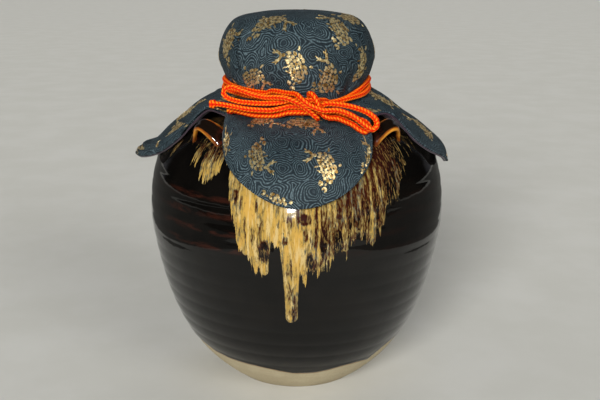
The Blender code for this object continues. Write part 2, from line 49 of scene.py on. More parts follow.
# Sizes shared with the frame's source, in millimetres
FOOT_RADIUS = 61.7
BODY_RADIUS = 131.0
BELLY_HEIGHT = 150.0
SHOULDER_HEIGHT = 242.5
WALL = 6.8
FLOOR = 9.5
NECK_RADIUS = 53.2
NECK_WALL = 7.5
LIP_TOP = 290.0
DRUM_TOP = 324.9
DRUM_RADIUS = 66.2
TIE_RADIUS = 58.43
LINING = 0.9
BROCADE = 1.3
GAP = 0.3
CORD = 4.2
CORD_GAP = 1.0
LOBE_FALL = 106.0
LOBE_WIDE_FALL = 60.0
NOTCH_FALL = 27.0
LOBE_HALF = 59.5
NOTCH_HALF = 56.5
EAR_AZIMUTHS = {"front_left": -43.3, "front_right": 43.3, "back_left": -136.7, "back_right": 136.7}
EAR_FOOT_RADIUS = 101.0
EAR_FOOT_HEIGHT = 229.8

# Radius from the foot to the belly, and height up to the belly
LOWER_SHARES = (
    (0.19, 0.08), (0.43, 0.20), (0.655, 0.367), (0.82, 0.567), (0.925, 0.767), (0.985, 0.93),
)
# Radius from the neck to the belly, and height from the belly to the shoulder
UPPER_SHARES = (
    (1.0, 0.0), (0.998, 0.163), (0.978, 0.324), (0.944, 0.454), (0.902, 0.562), (0.848, 0.66),
    (0.768, 0.751), (0.668, 0.832), (0.556, 0.897), (0.432, 0.944), (0.29, 0.972), (0.165, 0.989),
)
# Radius and height over the shoulder's inner edge, up the neck and over the lip
NECK_LINE = (
    (4.5, 0.3), (1.1, 2.7), (0.0, 6.5), (0.0, 39.0), (2.2, 40.9), (3.3, 43.0), (3.3, 45.6), (1.8, 47.5),
)


def linear(colour):
    """A hex colour as linear RGBA."""
    parts = [int(colour[i:i + 2], 16) / 255 for i in (1, 3, 5)]
    return (*[c / 12.92 if c <= 0.04045 else ((c + 0.055) / 1.055) ** 2.4 for c in parts], 1)


def rise(low, high, value):
    """0 below low, 1 above high, with a smooth rise between."""
    share = np.clip((np.asarray(value, float) - low) / (high - low), 0, 1)
    return share * share * (3 - 2 * share)


def smooth_line(points, steps):
    """A Catmull-Rom curve through points, with this many steps between two of them."""
    p = np.array(points, float)
    p = np.vstack([2 * p[0] - p[1], p, 2 * p[-1] - p[-2]])
    t = np.linspace(0, 1, steps, endpoint=False)[:, None]
    parts = []
    for a, b, c, d in zip(p, p[1:], p[2:], p[3:]):
        square, cube = 2 * a - 5 * b + 4 * c - d, 3 * b - a - 3 * c + d
        parts.append((2 * b + (c - a) * t + square * t ** 2 + cube * t ** 3) / 2)
    return np.vstack(parts + [p[-2:-1]])


def lengths(points):
    """The length along a line up to each of its points."""
    return np.concatenate([[0], np.cumsum(np.linalg.norm(np.diff(points, axis=0), axis=1))])


def even(points, step):
    """The points again, step apart along their line."""
    at = lengths(points)
    count = max(int(round(at[-1] / step)), 2)
    places = np.linspace(0, at[-1], count + 1)
    return np.stack([np.interp(places, at, points[:, k]) for k in range(points.shape[1])], axis=1)


def directions(line):
    """Unit directions along a line of points."""
    run = np.gradient(line, axis=0)
    return run / np.linalg.norm(run, axis=1, keepdims=True)


def around(radius, azimuth, height):
    """Points at radii and heights on azimuths round the axis."""
    return np.stack([radius * np.sin(azimuth), -radius * np.cos(azimuth), height + 0 * azimuth], axis=-1)


def waves(azimuth, seed, low, high):
    """A smooth closed random line round the axis, about -1 to 1."""
    random = np.random.default_rng(seed)
    turns = np.arange(low, high + 1)
    sizes = random.normal(size=len(turns)) / np.sqrt(turns)
    phases = random.uniform(0, 2 * np.pi, len(turns))
    made = sum(s * np.cos(t * azimuth + p) for s, t, p in zip(sizes, turns, phases))
    return made / (np.sqrt((sizes ** 2).sum()) * 1.4)


# Meshes

def mesh_object(name, points, faces, material, body, smooth=True):
    """A piece of the part, which rides on a body and takes a material slot."""
    mesh = bpy.data.meshes.new(name)
    mesh.from_pydata(np.asarray(points, float).tolist(), [], [tuple(int(i) for i in face) for face in faces])
    mesh.materials.append(material)
    made = bpy.data.objects.new(name, mesh)
    bpy.context.scene.collection.objects.link(made)
    if smooth:
        mesh.shade_smooth()
    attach(made, body)
    return made


def tube_faces(rows, columns, flip=False):
    """The quads of a tube of rings, and the two faces that close its ends."""
    i, j = np.arange(rows - 1)[:, None] * columns, np.arange(columns)[None]
    k = (j + 1) % columns
    faces = np.stack([i + j, i + k, i + columns + k, i + columns + j], axis=-1).reshape(-1, 4).tolist()
    last = (rows - 1) * columns
    faces += [list(range(columns))[::-1], list(range(last, last + columns))]
    return [face[::-1] for face in faces] if flip else faces


def grid_normals(points):
    """Unit normals of a grid with closed columns."""
    down = np.gradient(points, axis=0)
    across = np.roll(points, -1, axis=1) - np.roll(points, 1, axis=1)
    normal = np.cross(down, across)
    return normal / np.maximum(np.linalg.norm(normal, axis=-1, keepdims=True), 1e-12)


def attribute(obj, name, values):
    """Keeps a value or a vector for each point of a piece, for its material to read."""
    values = np.asarray(values, np.float32)
    kind = "FLOAT" if values.ndim == 1 else "FLOAT_VECTOR"
    made = obj.data.attributes.new(name, kind, "POINT")
    made.data.foreach_set("value" if values.ndim == 1 else "vector", values.ravel())


# Material nodes

SMOOTH = {"interpolation_type": "SMOOTHSTEP"}
COLOUR = {"data_type": "RGBA"}
TIMES, PLUS, LESS = ({"operation": name} for name in ("MULTIPLY", "ADD", "SUBTRACT"))


def grain(size):
    """The scale of a pattern whose cells are this many millimetres across."""
    return 1 / (size * MM)


def threads(spacing):
    """The scale of a wave pattern whose bands lie this many millimetres apart."""
    return math.pi / 10 / (spacing * MM)


def feed(tree, socket, value):
    """Links a socket to another node's output, or sets it, with a hex colour turned to linear."""
    if isinstance(value, bpy.types.NodeSocket):
        tree.links.new(value, socket)
    else:
        socket.default_value = linear(value) if isinstance(value, str) else value


def add_node(tree, kind, *values, output=0, **named):
    """Adds a node and returns one of its outputs. Values go to its open inputs in turn, and what is named goes
    to the setting of that name, in small letters, or to the input."""
    made = tree.nodes.new("ShaderNode" + kind)
    for key, value in named.items():
        if key.islower():
            setattr(made, key, value)
    for socket, value in zip([s for s in made.inputs if s.enabled], values):
        feed(tree, socket, value)
    for key, value in named.items():
        if not key.islower():
            feed(tree, made.inputs[key], value)
    return made.outputs[output] if isinstance(output, str) else [s for s in made.outputs if s.enabled][output]


def new_material(name):
    """A material, and add_node for its tree."""
    made = bpy.data.materials.new(name)
    made.use_nodes = True
    return made, partial(add_node, made.node_tree)


def finish(material, looks):
    """Sets or links the named inputs of the material's shader."""
    tree = material.node_tree
    for name, value in looks.items():
        feed(tree, tree.nodes["Principled BSDF"].inputs[name], value)
    return material


def coat(add, under, over, value, low, high, most=1.0, least=0.0, part=None):
    """One colour laid over another as a value rises from low to high, and only in part if that is given."""
    share = add("MapRange", value, low, high, least, most, **SMOOTH)
    if part is not None:
        share = add("Math", share, part, **TIMES)
    return add("Mix", share, under, over, **COLOUR)


def swing(add, value, size):
    """A value that lies about a half, as one that swings about zero."""
    return add("Math", add("Math", value, 0.5, **LESS), size, **TIMES)


def glaze_material():
    """Stoneware under an iron glaze: near black and glassy, brown where it thins on the throwing ridges,
    with a run of milky ochre ash glaze streaked in red-brown and blue-grey, and a bare buff foot."""
    material, add = new_material("stoneware_glaze")
    place = add("TexCoord", output="Object")
    flow = add("Attribute", output="Vector", attribute_name="flow")
    base, drip, ash, ridge, foot = (add("Attribute", output="Fac", attribute_name=name)
                                    for name in ("base", "drip", "ash", "ridge", "foot"))

    def streaks(narrow, size, detail=2.0, rough=0.5):
        """Specks of a size in millimetres, drawn out along the run by a factor below 1."""
        return add("TexNoise", add("VectorMath", flow, (1, 1, narrow), **TIMES), grain(size), detail, rough)

    # Iron glaze
    dark = coat(add, "#080706", "#0D0B09", add("TexNoise", place, grain(26.32), 3.0), 0.4, 0.65)
    broken = add("TexNoise", add("VectorMath", place, (1, 1, 4), **TIMES), grain(22.22), 3.0, 0.6)
    thin = add("Math", ridge, add("MapRange", broken, 0.42, 0.62, **SMOOTH), **TIMES)
    dark = add("Mix", add("Math", thin, 0.6, **TIMES), dark, "#331810", **COLOUR)
    # Ash run: spots and streaks drawn out along the flow, milky where the ash lay thick
    spots, streak, broad = streaks(0.24, 1.613, 3.0, 0.6), streaks(0.07, 3.03, 3.0, 0.55), streaks(0.2, 10.53)
    fringe = add("Math", swing(add, broad, 0.024), swing(add, streak, 0.032), **PLUS)
    drip_edge = add("Math", drip, add("Math", fringe, 0.06, **TIMES), **PLUS)
    edge = add("Math", add("Math", base, fringe, **PLUS), drip_edge, operation="MAXIMUM")
    inside = add("MapRange", edge, -0.0002, 0.0004, **SMOOTH)
    milk = add("Math", spots, 0.4, **TIMES)
    for more in (add("Math", streak, 0.36, **TIMES), add("Math", broad, 0.24, **TIMES), swing(add, ash, 0.27)):
        milk = add("Math", milk, more, **PLUS)
    colour = coat(add, "#0E0B0A", "#2C110B", base, 0.006, 0.022)
    colour = coat(add, colour, "#4A2610", milk, 0.40, 0.47, 0.8)
    pale = coat(add, "#7F6F42", "#46524C", streaks(0.12, 4.762), 0.48, 0.6, 0.8)
    for tone, low, high in ((pale, 0.455, 0.51), ("#A5853F", 0.495, 0.565), ("#B58F45", 0.57, 0.66)):
        colour = coat(add, colour, tone, milk, low, high)
    # Cream streaks, dark flecks and the pale line along the run's edge
    milky = add("MapRange", milk, 0.5, 0.56, **SMOOTH)
    colour = coat(add, colour, "#BFAA78", streaks(0.12, 2.381), 0.5, 0.62, 0.6, part=milky)
    milky = add("MapRange", milk, 0.66, 0.54, 0.35, 1.0, **SMOOTH)
    colour = coat(add, colour, "#67522C", streaks(0.32, 1.316), 0.53, 0.64, 0.8, part=milky)
    speckled = add("MapRange", spots, 0.42, 0.56, 0.0, 0.9, **SMOOTH)
    colour = coat(add, colour, "#8A7544", edge, 0.0006, 0.0013, 0.0, 1.0, speckled)
    glazed = add("Mix", inside, dark, colour, **COLOUR)
    # Bare foot, gritty and toasted along the glaze line
    line = add("Math", foot, swing(add, add("TexNoise", place, grain(16.67), 3.0), 0.003), **PLUS)
    covered = add("MapRange", line, -0.0003, 0.0004, **SMOOTH)
    grit = add("TexNoise", place, grain(1.111), 3.0, 0.7)
    lines = add("TexNoise", add("VectorMath", place, (0.06, 0.06, 1), **TIMES), grain(1.429), 3.0)
    clay = coat(add, "#A3967A", "#B0A487", add("TexNoise", place, grain(33.33), 3.0), 0.35, 0.7)
    coarse = add("Math", grit, add("Math", lines, 0.4, **TIMES), **PLUS)
    clay = coat(add, clay, "#8F8467", coarse, 0.6, 0.95, 0.6)
    clay = coat(add, clay, "#7A5A34", add("Math", line, operation="ABSOLUTE"), 0.0004, 0.0022, 0.0, 1.0, 0.7)
    relief = add("Math", add("Math", 1.0, covered, **LESS), grit, **TIMES)
    normal = add("Bump", Height=relief, Distance=0.0004, Strength=0.6)
    skin, crust = add("TexNoise", place, grain(18.18)), add("Math", inside, milk, **TIMES)
    normal = add("Bump", Height=skin, Distance=0.0011, Strength=0.25, Normal=normal)
    return finish(material, {
        "Base Color": add("Mix", covered, clay, glazed, **COLOUR),
        "Roughness": add("Mix", covered, 0.82, add("Mix", inside, 0.06, 0.09)),
        "IOR": 1.4,
        "Normal": add("Bump", Height=crust, Distance=0.0005, Strength=0.16, Normal=normal)})


def ear_material():
    """The same iron glaze on the ears: it has run off the edges, which show amber, and pools at the feet."""
    material, add = new_material("ear_glaze")
    place = add("TexCoord", output="Object")
    edge, foot = (add("Attribute", output="Fac", attribute_name=name) for name in ("edge", "foot"))
    cloud = add("TexNoise", place, grain(8.333), 3.0)
    worn = add("Math", edge, swing(add, cloud, 0.9), **PLUS)
    colour = coat(add, "#120C08", "#7C4213", worn, 0.36, 0.62)
    colour = coat(add, colour, "#B87A26", worn, 0.72, 0.95)
    brown = add("Math", foot, add("MapRange", cloud, 0.42, 0.6, **SMOOTH), **TIMES)
    return finish(material, {
        "Base Color": add("Mix", add("Math", brown, 0.8, **TIMES), colour, "#4A1E10", **COLOUR),
        "Roughness": 0.08,
        "IOR": 1.52,
        "Normal": add("Bump", Height=add("TexNoise", place, grain(11.11)), Distance=0.001, Strength=0.4)})


# Figured silk: spacing of the wave arcs and of their centres. The weave is drawn twice as coarse as silk's.
ARC_SPACING = 1.781
ARC_CENTRES = 17.86
WEAVE_SPACING = 0.561


def brocade_material():
    """Dark blue figured silk: raised lighter threads lie in nested arcs round scattered centres, over a tight
    weave."""
    material, add = new_material("wave_brocade")
    flat = add("UVMap", uv_map="cloth")
    drift = add("TexNoise", flat, grain(13.33), 1.0, 0.4, output="Color", noise_dimensions="2D")
    bent = add("VectorMath", flat, add("VectorMath", drift, (0.007, 0.007, 0.0), **TIMES), **PLUS)
    centres = add("TexVoronoi", Vector=bent, Scale=grain(ARC_CENTRES), Smoothness=0.2, Randomness=0.95,
                  voronoi_dimensions="2D", feature="SMOOTH_F1")
    arcs = add("Math", centres, 2 * math.pi * ARC_CENTRES / ARC_SPACING, **TIMES)
    line = add("MapRange", add("Math", arcs, operation="SINE"), -0.3, 1.0, **SMOOTH)
    line = add("Math", line, add("MapRange", centres, 0.06, 0.17, 0.25, 1.0, **SMOOTH), **TIMES)
    weft, warp = (add("TexWave", flat, threads(WEAVE_SPACING), 1.5, output="Fac", bands_direction=way)
                  for way in "XY")
    weave = add("Math", weft, warp, **TIMES)
    fade = add("MapRange", add("TexNoise", flat, grain(45.45), noise_dimensions="2D"), 0.3, 0.7, **SMOOTH)
    ground = add("Mix", fade, "#10171B", "#1A2328", **COLOUR)
    slub = add("TexNoise", flat, grain(0.7692), noise_dimensions="2D")
    ground = coat(add, ground, "#26333B", slub, 0.4, 0.65, 0.4)
    broken = add("TexNoise", flat, grain(1.5625), noise_dimensions="2D")
    broken = add("MapRange", broken, 0.36, 0.6, 0.25, 0.72, **SMOOTH)
    light = add("Mix", fade, "#53666C", "#67797E", **COLOUR)
    colour = add("Mix", add("Math", line, broken, **TIMES), ground, light, **COLOUR)
    normal = add("Bump", Height=line, Distance=0.00035, Strength=0.7)
    return finish(material, {
        "Base Color": add("Mix", add("Math", weave, 0.3, **TIMES), colour, "#0A1218", **COLOUR),
        "Roughness": 0.6,
        "IOR": 1.3,
        "Normal": add("Bump", Height=weave, Distance=0.00012, Strength=0.5, Normal=normal)})


def gold_material():
    """Flat gilt paper thread under lacquer: warm metal, part of it dulled by the lacquer, in threads 0.45 mm
    apart, that glints patch by patch."""
    material, add = new_material("gold_thread")
    place = add("TexCoord", output="Object")
    thread = add("TexWave", place, threads(0.4488), 3.0, output="Fac", bands_direction="DIAGONAL")
    return finish(material, {
        "Base Color": coat(add, "#A07A36", "#FFEAB0", add("TexNoise", place, grain(2.381), 3.0), 0.35, 0.65),
        "Metallic": 0.8,
        "Roughness": 0.33,
        "Normal": add("Bump", Height=thread, Distance=0.0002, Strength=0.6)})


def lining_material():
    """Plain purple silk: even threads, drawn twice as coarse as silk's, and a low sheen."""
    material, add = new_material("lining_silk")
    flat = add("UVMap", uv_map="cloth")
    weft = add("TexWave", flat, threads(0.5067), 1.0, output="Fac", bands_direction="X")
    slub = add("TexNoise", add("VectorMath", flat, (1, 14, 1), **TIMES), grain(11.11), 3.0)
    return finish(material, {
        "Base Color": coat(add, "#24131F", "#3A2232", slub, 0.35, 0.65),
        "Roughness": 0.5,
        "Sheen Weight": 0.3,
        "Normal": add("Bump", Height=weft, Distance=0.00015, Strength=0.5)})


def cord_material():
    """Braided silk in vermilion: raised strands and fine threads along each strand, with painted shade in deep red
    between the strands and painted highlights in yellow-orange on their tops."""
    material, add = new_material("cord_braid")
    place = add("TexCoord", output="Object")
    lift, thread = (add("Attribute", output="Fac", attribute_name=name) for name in ("lift", "thread"))
    # Painted shade: the vermilion darkens to deep red down between the raised strands
    colour = coat(add, "#860A00", "#E22200", lift, 0.05, 0.5)
    # Painted highlight: yellow-orange where the strands stand highest
    colour = coat(add, colour, "#FF9420", lift, 0.6, 0.94, 0.85)
    colour = coat(add, colour, "#F04808", add("TexNoise", place, grain(6.25)), 0.4, 0.65, part=0.2)
    fine = add("Math", add("Math", thread, 2 * math.pi, **TIMES), operation="SINE")
    return finish(material, {
        "Base Color": coat(add, colour, "#9A2205", fine, -1.0, 0.4, 0.0, 0.22),
        "Roughness": 0.55,
        "IOR": 1.2,
        "Normal": add("Bump", Height=fine, Distance=0.00015, Strength=0.4)})


def wood_material():
    """Turned paulownia: pale brown long grain with darker late wood, and fine pores."""
    material, add = new_material("lid_wood_grain")
    place = add("TexCoord", output="Object")
    drift = add("TexNoise", place, grain(83.33), output="Color")
    bent = add("VectorMath", add("VectorMath", place, (0.12, 1, 0.7), **TIMES),
               add("VectorMath", drift, (0.006, 0.006, 0.006), **TIMES), **PLUS)
    rings = add("TexWave", bent, threads(5.067), 2.2, 2.0, output="Fac", bands_direction="Y")
    pores = add("TexNoise", add("VectorMath", place, (0.05, 1, 1), **TIMES), grain(0.7143))
    colour = coat(add, "#C79A64", "#AD7F4C", rings, 0.15, 0.9)
    return finish(material, {
        "Base Color": coat(add, colour, "#6E4724", pores, 0.6, 0.75, 0.5),
        "Roughness": 0.58,
        "Normal": add("Bump", Height=pores, Distance=0.0002, Strength=0.4)})


def cotton_material():
    """Cotton wadding: soft off-white felt."""
    material, add = new_material("cotton_wadding")
    fluff = add("TexNoise", add("TexCoord", output="Object"), grain(4.167), 4.0, 0.65)
    return finish(material, {
        "Base Color": add("Mix", fluff, "#D6CEBC", "#F1EBDD", **COLOUR),
        "Roughness": 0.95,
        "Sheen Weight": 0.4,
        "Normal": add("Bump", Height=fluff, Distance=0.0012, Strength=0.7)})


# Jar

# Lower edge of the ash run: azimuth in degrees and height
RUN_EDGE = (
    (-180, 208), (-165, 196), (-152, 204), (-138, 222), (-120, 212), (-100, 219), (-80, 214), (-62, 224),
    (-50, 230), (-45, 227), (-41, 216), (-38, 208), (-34, 204), (-31, 208), (-29, 217), (-26.5, 218),
    (-24.7, 198), (-22.5, 175), (-20, 162), (-17, 147), (-14, 136), (-12, 133), (-9.6, 149), (-8.2, 158),
    (-6.4, 149), (-4.4, 137), (-3, 131), (1.5, 127), (3.9, 131), (7.9, 139), (12.9, 147), (16.8, 153),
    (18.9, 159), (22, 163), (26.3, 159), (29.5, 168), (33, 180), (37.2, 186), (41.7, 200), (46.3, 213),
    (51.7, 226), (62, 229), (84, 216), (100, 221), (120, 213), (138, 224), (152, 202), (166, 190), (180, 208),
)
# Drips: azimuth, height of the top and of the tip, radius at the top and at the tip
DRIPS = (
    (-1.9, 150, 92.5, 8.5, 5.2), (-11.2, 158, 134.0, 5.5, 3.6), (-34.0, 222, 202.5, 3.6, 2.0),
    (-38.6, 226, 211.0, 2.6, 1.6), (-31.0, 222, 206.0, 2.2, 1.4), (26.3, 176, 158.5, 4.5, 2.8),
    (31.0, 184, 169.0, 4.0, 2.2), (37.6, 200, 185.0, 4.0, 2.4), (16.6, 162, 152.0, 4.0, 2.4),
    (8.2, 150, 139.5, 4.5, 2.6), (-17.4, 164, 149.0, 4.5, 2.8), (46.0, 222, 210.0, 3.5, 2.0),
    (-164.0, 204, 172.0, 6.5, 4.2), (-155.0, 210, 190.0, 5.0, 3.0), (167.0, 196, 152.0, 7.5, 4.8),
    (156.0, 206, 180.0, 5.0, 3.2), (176.0, 212, 186.0, 5.0, 3.0), (-118.0, 216, 198.0, 5.0, 3.0),
    (-82.0, 218, 203.0, 4.5, 2.6), (86.0, 220, 202.0, 5.0, 3.0), (121.0, 217, 200.0, 4.5, 2.6),
)
# How milky the ash run is: azimuth and share
MILKINESS = (
    (-180, 0.6), (-60, 0.35), (-42, 0.46), (-34, 0.56), (-28, 0.55), (-25, 0.7), (-20, 0.76), (-2, 0.76),
    (3, 0.62), (7, 0.5), (12, 0.38), (20, 0.33), (28, 0.25), (36, 0.14), (50, 0.1), (80, 0.4), (150, 0.6),
    (180, 0.6),
)
# Marks in the ash: azimuth, height, half width, half height and how much milkier
ASH_MARKS = (
    (-10.9, 150.0, 4.6, 9.5, -0.75), (2.9, 176.5, 4.8, 4.6, -0.75), (-13.8, 186.0, 1.4, 6.0, -0.45),
    (-3.3, 177.0, 2.6, 3.5, -0.3), (3.2, 165.0, 2.0, 6.5, -0.45), (4.2, 144.0, 2.1, 6.5, -0.75),
    (6.0, 139.0, 2.6, 7.5, -0.45), (-2.6, 137.0, 3.2, 9.0, -0.36), (-3.7, 160.0, 2.6, 3.6, -0.4),
    (-21.5, 193.0, 3.0, 4.5, -0.32), (-17.6, 168.0, 1.5, 9.0, -0.4), (-20.0, 164.0, 1.6, 8.0, -0.45),
    (0.9, 148.0, 3.6, 24.0, 0.3), (-6.6, 163.0, 4.4, 9.0, 0.25), (-15.6, 181.0, 4.0, 12.0, 0.22),
    (9.0, 160.0, 3.0, 13.0, -0.45), (14.0, 158.0, 4.0, 10.0, -0.3), (5.6, 183.0, 1.6, 14.0, 0.2),
    (0.2, 184.0, 2.2, 9.0, -0.3), (-2.6, 112.0, 3.0, 16.0, -0.1), (0.4, 100.0, 2.0, 9.0, -0.25),
)
# Where the glaze ends over the foot: azimuth and height
FOOT_LINE = (
    (-180, 36), (-150, 41), (-120, 34), (-90, 38), (-59, 43), (-48, 38), (-37, 36), (-23, 35), (-11, 32),
    (-2, 28.5), (10, 29), (24, 33), (33, 33.5), (42, 31), (50, 42), (70, 46), (100, 39), (140, 33), (180, 36),
)
JAR_COLUMNS = 720
JAR_STEP = 1.15
# Throwing rings: their pitch, depth and place round the jar, and the glaze's own thickness over foot and ash
RING_PITCH = 13.0
RING_DEPTH = 0.34
RING_START = 0.4
GLAZE_COAT = 0.35
ASH_COAT = 0.55
# Distance of what lies outside the run, in metres
FAR_OFF = 0.05


def by_azimuth(table, azimuth):
    """Values read from a table of azimuths in degrees and values."""
    return np.interp(np.degrees(azimuth), *np.array(table, float).T)


def run_fields(azimuth, height):
    """Distances into the ash run, as an edge and as drips, for grids of azimuth and height."""
    degrees = np.degrees(azimuth)
    base = (height - by_azimuth(RUN_EDGE, azimuth)) * 0.6
    drips = np.full(height.shape, -50.0)
    for at, top, tip, wide, narrow in DRIPS:
        across = np.radians(degrees - at) * BODY_RADIUS
        low, high = tip + narrow * 0.1, top
        share = np.clip((height - low) / (high - low), 0, 1)
        width = narrow + (wide - narrow) * share ** 2
        away = np.hypot(across, height - np.clip(height, low, high))
        drips = np.maximum(drips, width - away)
    return base, drips


def belly_line():
    """The jar's outside from the foot to the shoulder: radius and height."""
    swell, draw_in, rest = BODY_RADIUS - FOOT_RADIUS, BODY_RADIUS - NECK_RADIUS, SHOULDER_HEIGHT - BELLY_HEIGHT
    lower = [(FOOT_RADIUS + swell * out, BELLY_HEIGHT * up) for out, up in LOWER_SHARES]
    return lower + [(NECK_RADIUS + draw_in * out, BELLY_HEIGHT + rest * up) for out, up in UPPER_SHARES]


def inside_line():
    """The jar's inside from the lip down to the middle of the floor."""
    line = smooth_line(belly_line(), 3)
    run = directions(line)
    line = (line - np.stack([run[:, 1], -run[:, 0]], axis=1) * WALL)[::-1]
    mouth = NECK_RADIUS - NECK_WALL
    line = line[(line[:, 1] > FLOOR + WALL) & (line[:, 0] > mouth + WALL)]
    lip = [(mouth + 1.5, LIP_TOP), (mouth, LIP_TOP - 1.5), (mouth, SHOULDER_HEIGHT),
           (mouth + 2.2, SHOULDER_HEIGHT - WALL)]
    return np.vstack([lip, line, [(line[-1, 0] - WALL, FLOOR), (0.4, FLOOR)]])


def make_jar(material):
    """The thrown jar: rings and wobble of the wheel, the glaze's thickness, and the fields of its material."""
    line = [(FOOT_RADIUS, 1.2)] + belly_line()
    line += [(NECK_RADIUS + out, SHOULDER_HEIGHT + up) for out, up in NECK_LINE]
    outside, inside = even(smooth_line(line, 8), JAR_STEP), even(inside_line(), 5.0)
    azimuth = np.linspace(-np.pi, np.pi, JAR_COLUMNS, endpoint=False)
    at, tall = np.meshgrid(azimuth, outside[:, 1])
    body = rise(20, 45, tall) * rise(236, 215, tall)
    wave = np.abs(np.sin((tall / RING_PITCH * 2 * np.pi + at) / 2 + RING_START))
    rings = RING_DEPTH * (wave ** 0.8 - 0.6) * body
    rings *= 0.8 + 0.35 * waves(at + tall * 0.02, 5, 1, 5)
    foot = tall - by_azimuth(FOOT_LINE, at)
    base, drip = run_fields(at, tall)
    field = np.maximum(base, drip)
    rings *= 1 - 0.85 * rise(-0.3, 3.0, field)
    coat_depth = GLAZE_COAT * rise(-0.3, 1.2, foot) + 0.25 * rise(1.6, 0.4, np.abs(foot - 0.9))
    coat_depth += ASH_COAT * rise(-0.6, 2.4, field) * (0.45 + 0.55 * rise(235, 190, tall))
    coat_depth += ASH_COAT * rise(-0.3, 2.6, drip) * rise(190, 120, tall)
    neck = rise(250, 262, tall)
    wobble = 0.35 * waves(at, 3, 2, 5) * body
    points = around(outside[:, :1] + (rings + coat_depth * (1 - neck) + wobble) - 0.25, at, tall)
    underside = around(np.array([[8.0], [40.0], [60.3]]), azimuth[None] + np.zeros((3, 1)), 0.0)
    within = around(inside[:, :1], azimuth[None] + 0 * inside[:, :1], inside[:, 1:])
    grid = np.concatenate([underside, points, within]) * MM
    faces = tube_faces(len(grid), JAR_COLUMNS)
    jar = mesh_object("jar_glazed", grid.reshape(-1, 3), faces, material, "jar")

    def keep(name, values, under, inner):
        """Keeps values for the outside, with one value for the underside and one for the inside."""
        made = np.full((*grid.shape[:2], *values.shape[2:]), float(inner))
        made[:len(underside)] = under
        made[len(underside):len(underside) + len(outside)] = values
        attribute(jar, name, made.reshape(-1, 3) if values.ndim == 3 else made.ravel())

    keep("base", base * MM, -FAR_OFF, -FAR_OFF)
    keep("drip", drip * MM, -FAR_OFF, -FAR_OFF)
    keep("foot", foot * MM, -FAR_OFF, FAR_OFF)
    ash = by_azimuth(MILKINESS, at) - 0.5 * rise(208, 228, tall) - 0.06 * rise(150, 125, tall)
    for mark, height, wide, high, more in ASH_MARKS:
        across = np.radians(np.degrees(at) - mark) * BODY_RADIUS
        ash = ash + more * rise(1.25, 0.6, np.hypot(across / wide, (tall - height) / high))
    keep("ash", ash, 0, 0)
    crest = rise(0.72, 0.97, wave) * rise(138, 150, tall) * rise(200, 190, tall)
    crest *= 0.15 + 0.85 * rise(-58, -46, np.degrees(at)) * rise(-14, -22, np.degrees(at))
    keep("ridge", crest, 0, 0)
    keep("flow", around(BODY_RADIUS, at, lengths(outside)[:, None]) * MM, 0, 0)
    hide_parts("jar_body")


# Ears

EAR_HALF_SPAN = 16.8
EAR_HEIGHT = 16.5
EAR_THICKNESS = 6.2
EAR_APEX_WIDTH = 12.5
EAR_FOOT_WIDTH = 21.0
EAR_LEAN = math.radians(52)
EAR_SINK = 7.0


def make_ear(name, azimuth, material):
    """A clay strap pinched to thin edges, with a thumb groove along it, pressed on to the shoulder."""
    steps, ring = 64, 40
    rise_up = EAR_HEIGHT - EAR_THICKNESS / 2 + EAR_SINK
    at_surface = math.acos(EAR_SINK / rise_up) / (math.pi / 2)
    share = np.linspace(-1, 1, steps + 1)
    across = (EAR_HALF_SPAN - EAR_THICKNESS / 2) / at_surface * share
    up = rise_up * np.cos(share * np.pi / 2) - EAR_SINK
    path = np.stack([across, up], axis=1)
    run = directions(path)
    out = np.stack([-run[:, 1], run[:, 0]], axis=1)
    angle = np.linspace(0, 2 * np.pi, ring, endpoint=False)
    points, edge, foot = [], [], []
    for i, s in enumerate(share):
        flare = abs(s) ** 2.4
        half = (EAR_APEX_WIDTH + (EAR_FOOT_WIDTH - EAR_APEX_WIDTH) * flare) / 2
        half *= 1 + 0.05 * math.sin(5 * s + azimuth)
        thick = EAR_THICKNESS / 2 * (1 + 0.5 * rise(0.72, 1.0, abs(s)))
        y = np.sign(np.cos(angle)) * np.abs(np.cos(angle)) ** 0.8 * half
        t = np.sign(np.sin(angle)) * np.abs(np.sin(angle)) ** 0.75 * thick
        t *= 1 - 0.45 * (np.abs(y) / half) ** 3
        groove = 1.1 * np.exp(-(y / (0.33 * half)) ** 2) * (1 - 0.6 * flare)
        t = np.where(t > 0, t - groove, t)
        points.append(np.stack([path[i, 0] + out[i, 0] * t, y, path[i, 1] + out[i, 1] * t], axis=1))
        edge.append(rise(0.45, 1.0, np.abs(y) / half) * (0.65 + 0.35 * rise(0.9, 0.3, abs(s))))
        foot.append(np.full(ring, rise(0.5, 0.8, abs(s))))
    x, y, z = np.moveaxis(np.array(points), -1, 0)
    c, s = math.cos(math.pi / 2 - EAR_LEAN), math.sin(math.pi / 2 - EAR_LEAN)
    y, z = y * c - z * s, y * s + z * c
    c, s = math.cos(azimuth), math.sin(azimuth)
    x, y = x * c - y * s, x * s + y * c
    points = np.stack([x, y, z], axis=-1) + around(np.array(EAR_FOOT_RADIUS), np.array(azimuth), EAR_FOOT_HEIGHT)
    faces = tube_faces(steps + 1, ring)
    ear = mesh_object("ear_glazed_" + name, points.reshape(-1, 3) * MM, faces, material, "jar")
    attribute(ear, "edge", np.array(edge).ravel())
    attribute(ear, "foot", np.array(foot).ravel())
    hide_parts("ear_" + name)


# Cord

BAND_FRONT = 11.5
BAND_BACK = 23.0
BAND_LEFT_RISE = 7.0
BAND_RISE = (math.radians(18), math.radians(85))
STACK_RIGHT = (math.radians(30), math.radians(85))
STACK_LEFT = (math.radians(4), math.radians(22))
STACK_LEFT_BACK = (math.radians(60), math.radians(85))
STACK_LEFT_SHARE = 0.55
STACK_TILT = math.radians(15)
BACK_PASS = math.radians(24)
TURN_POINTS = 24
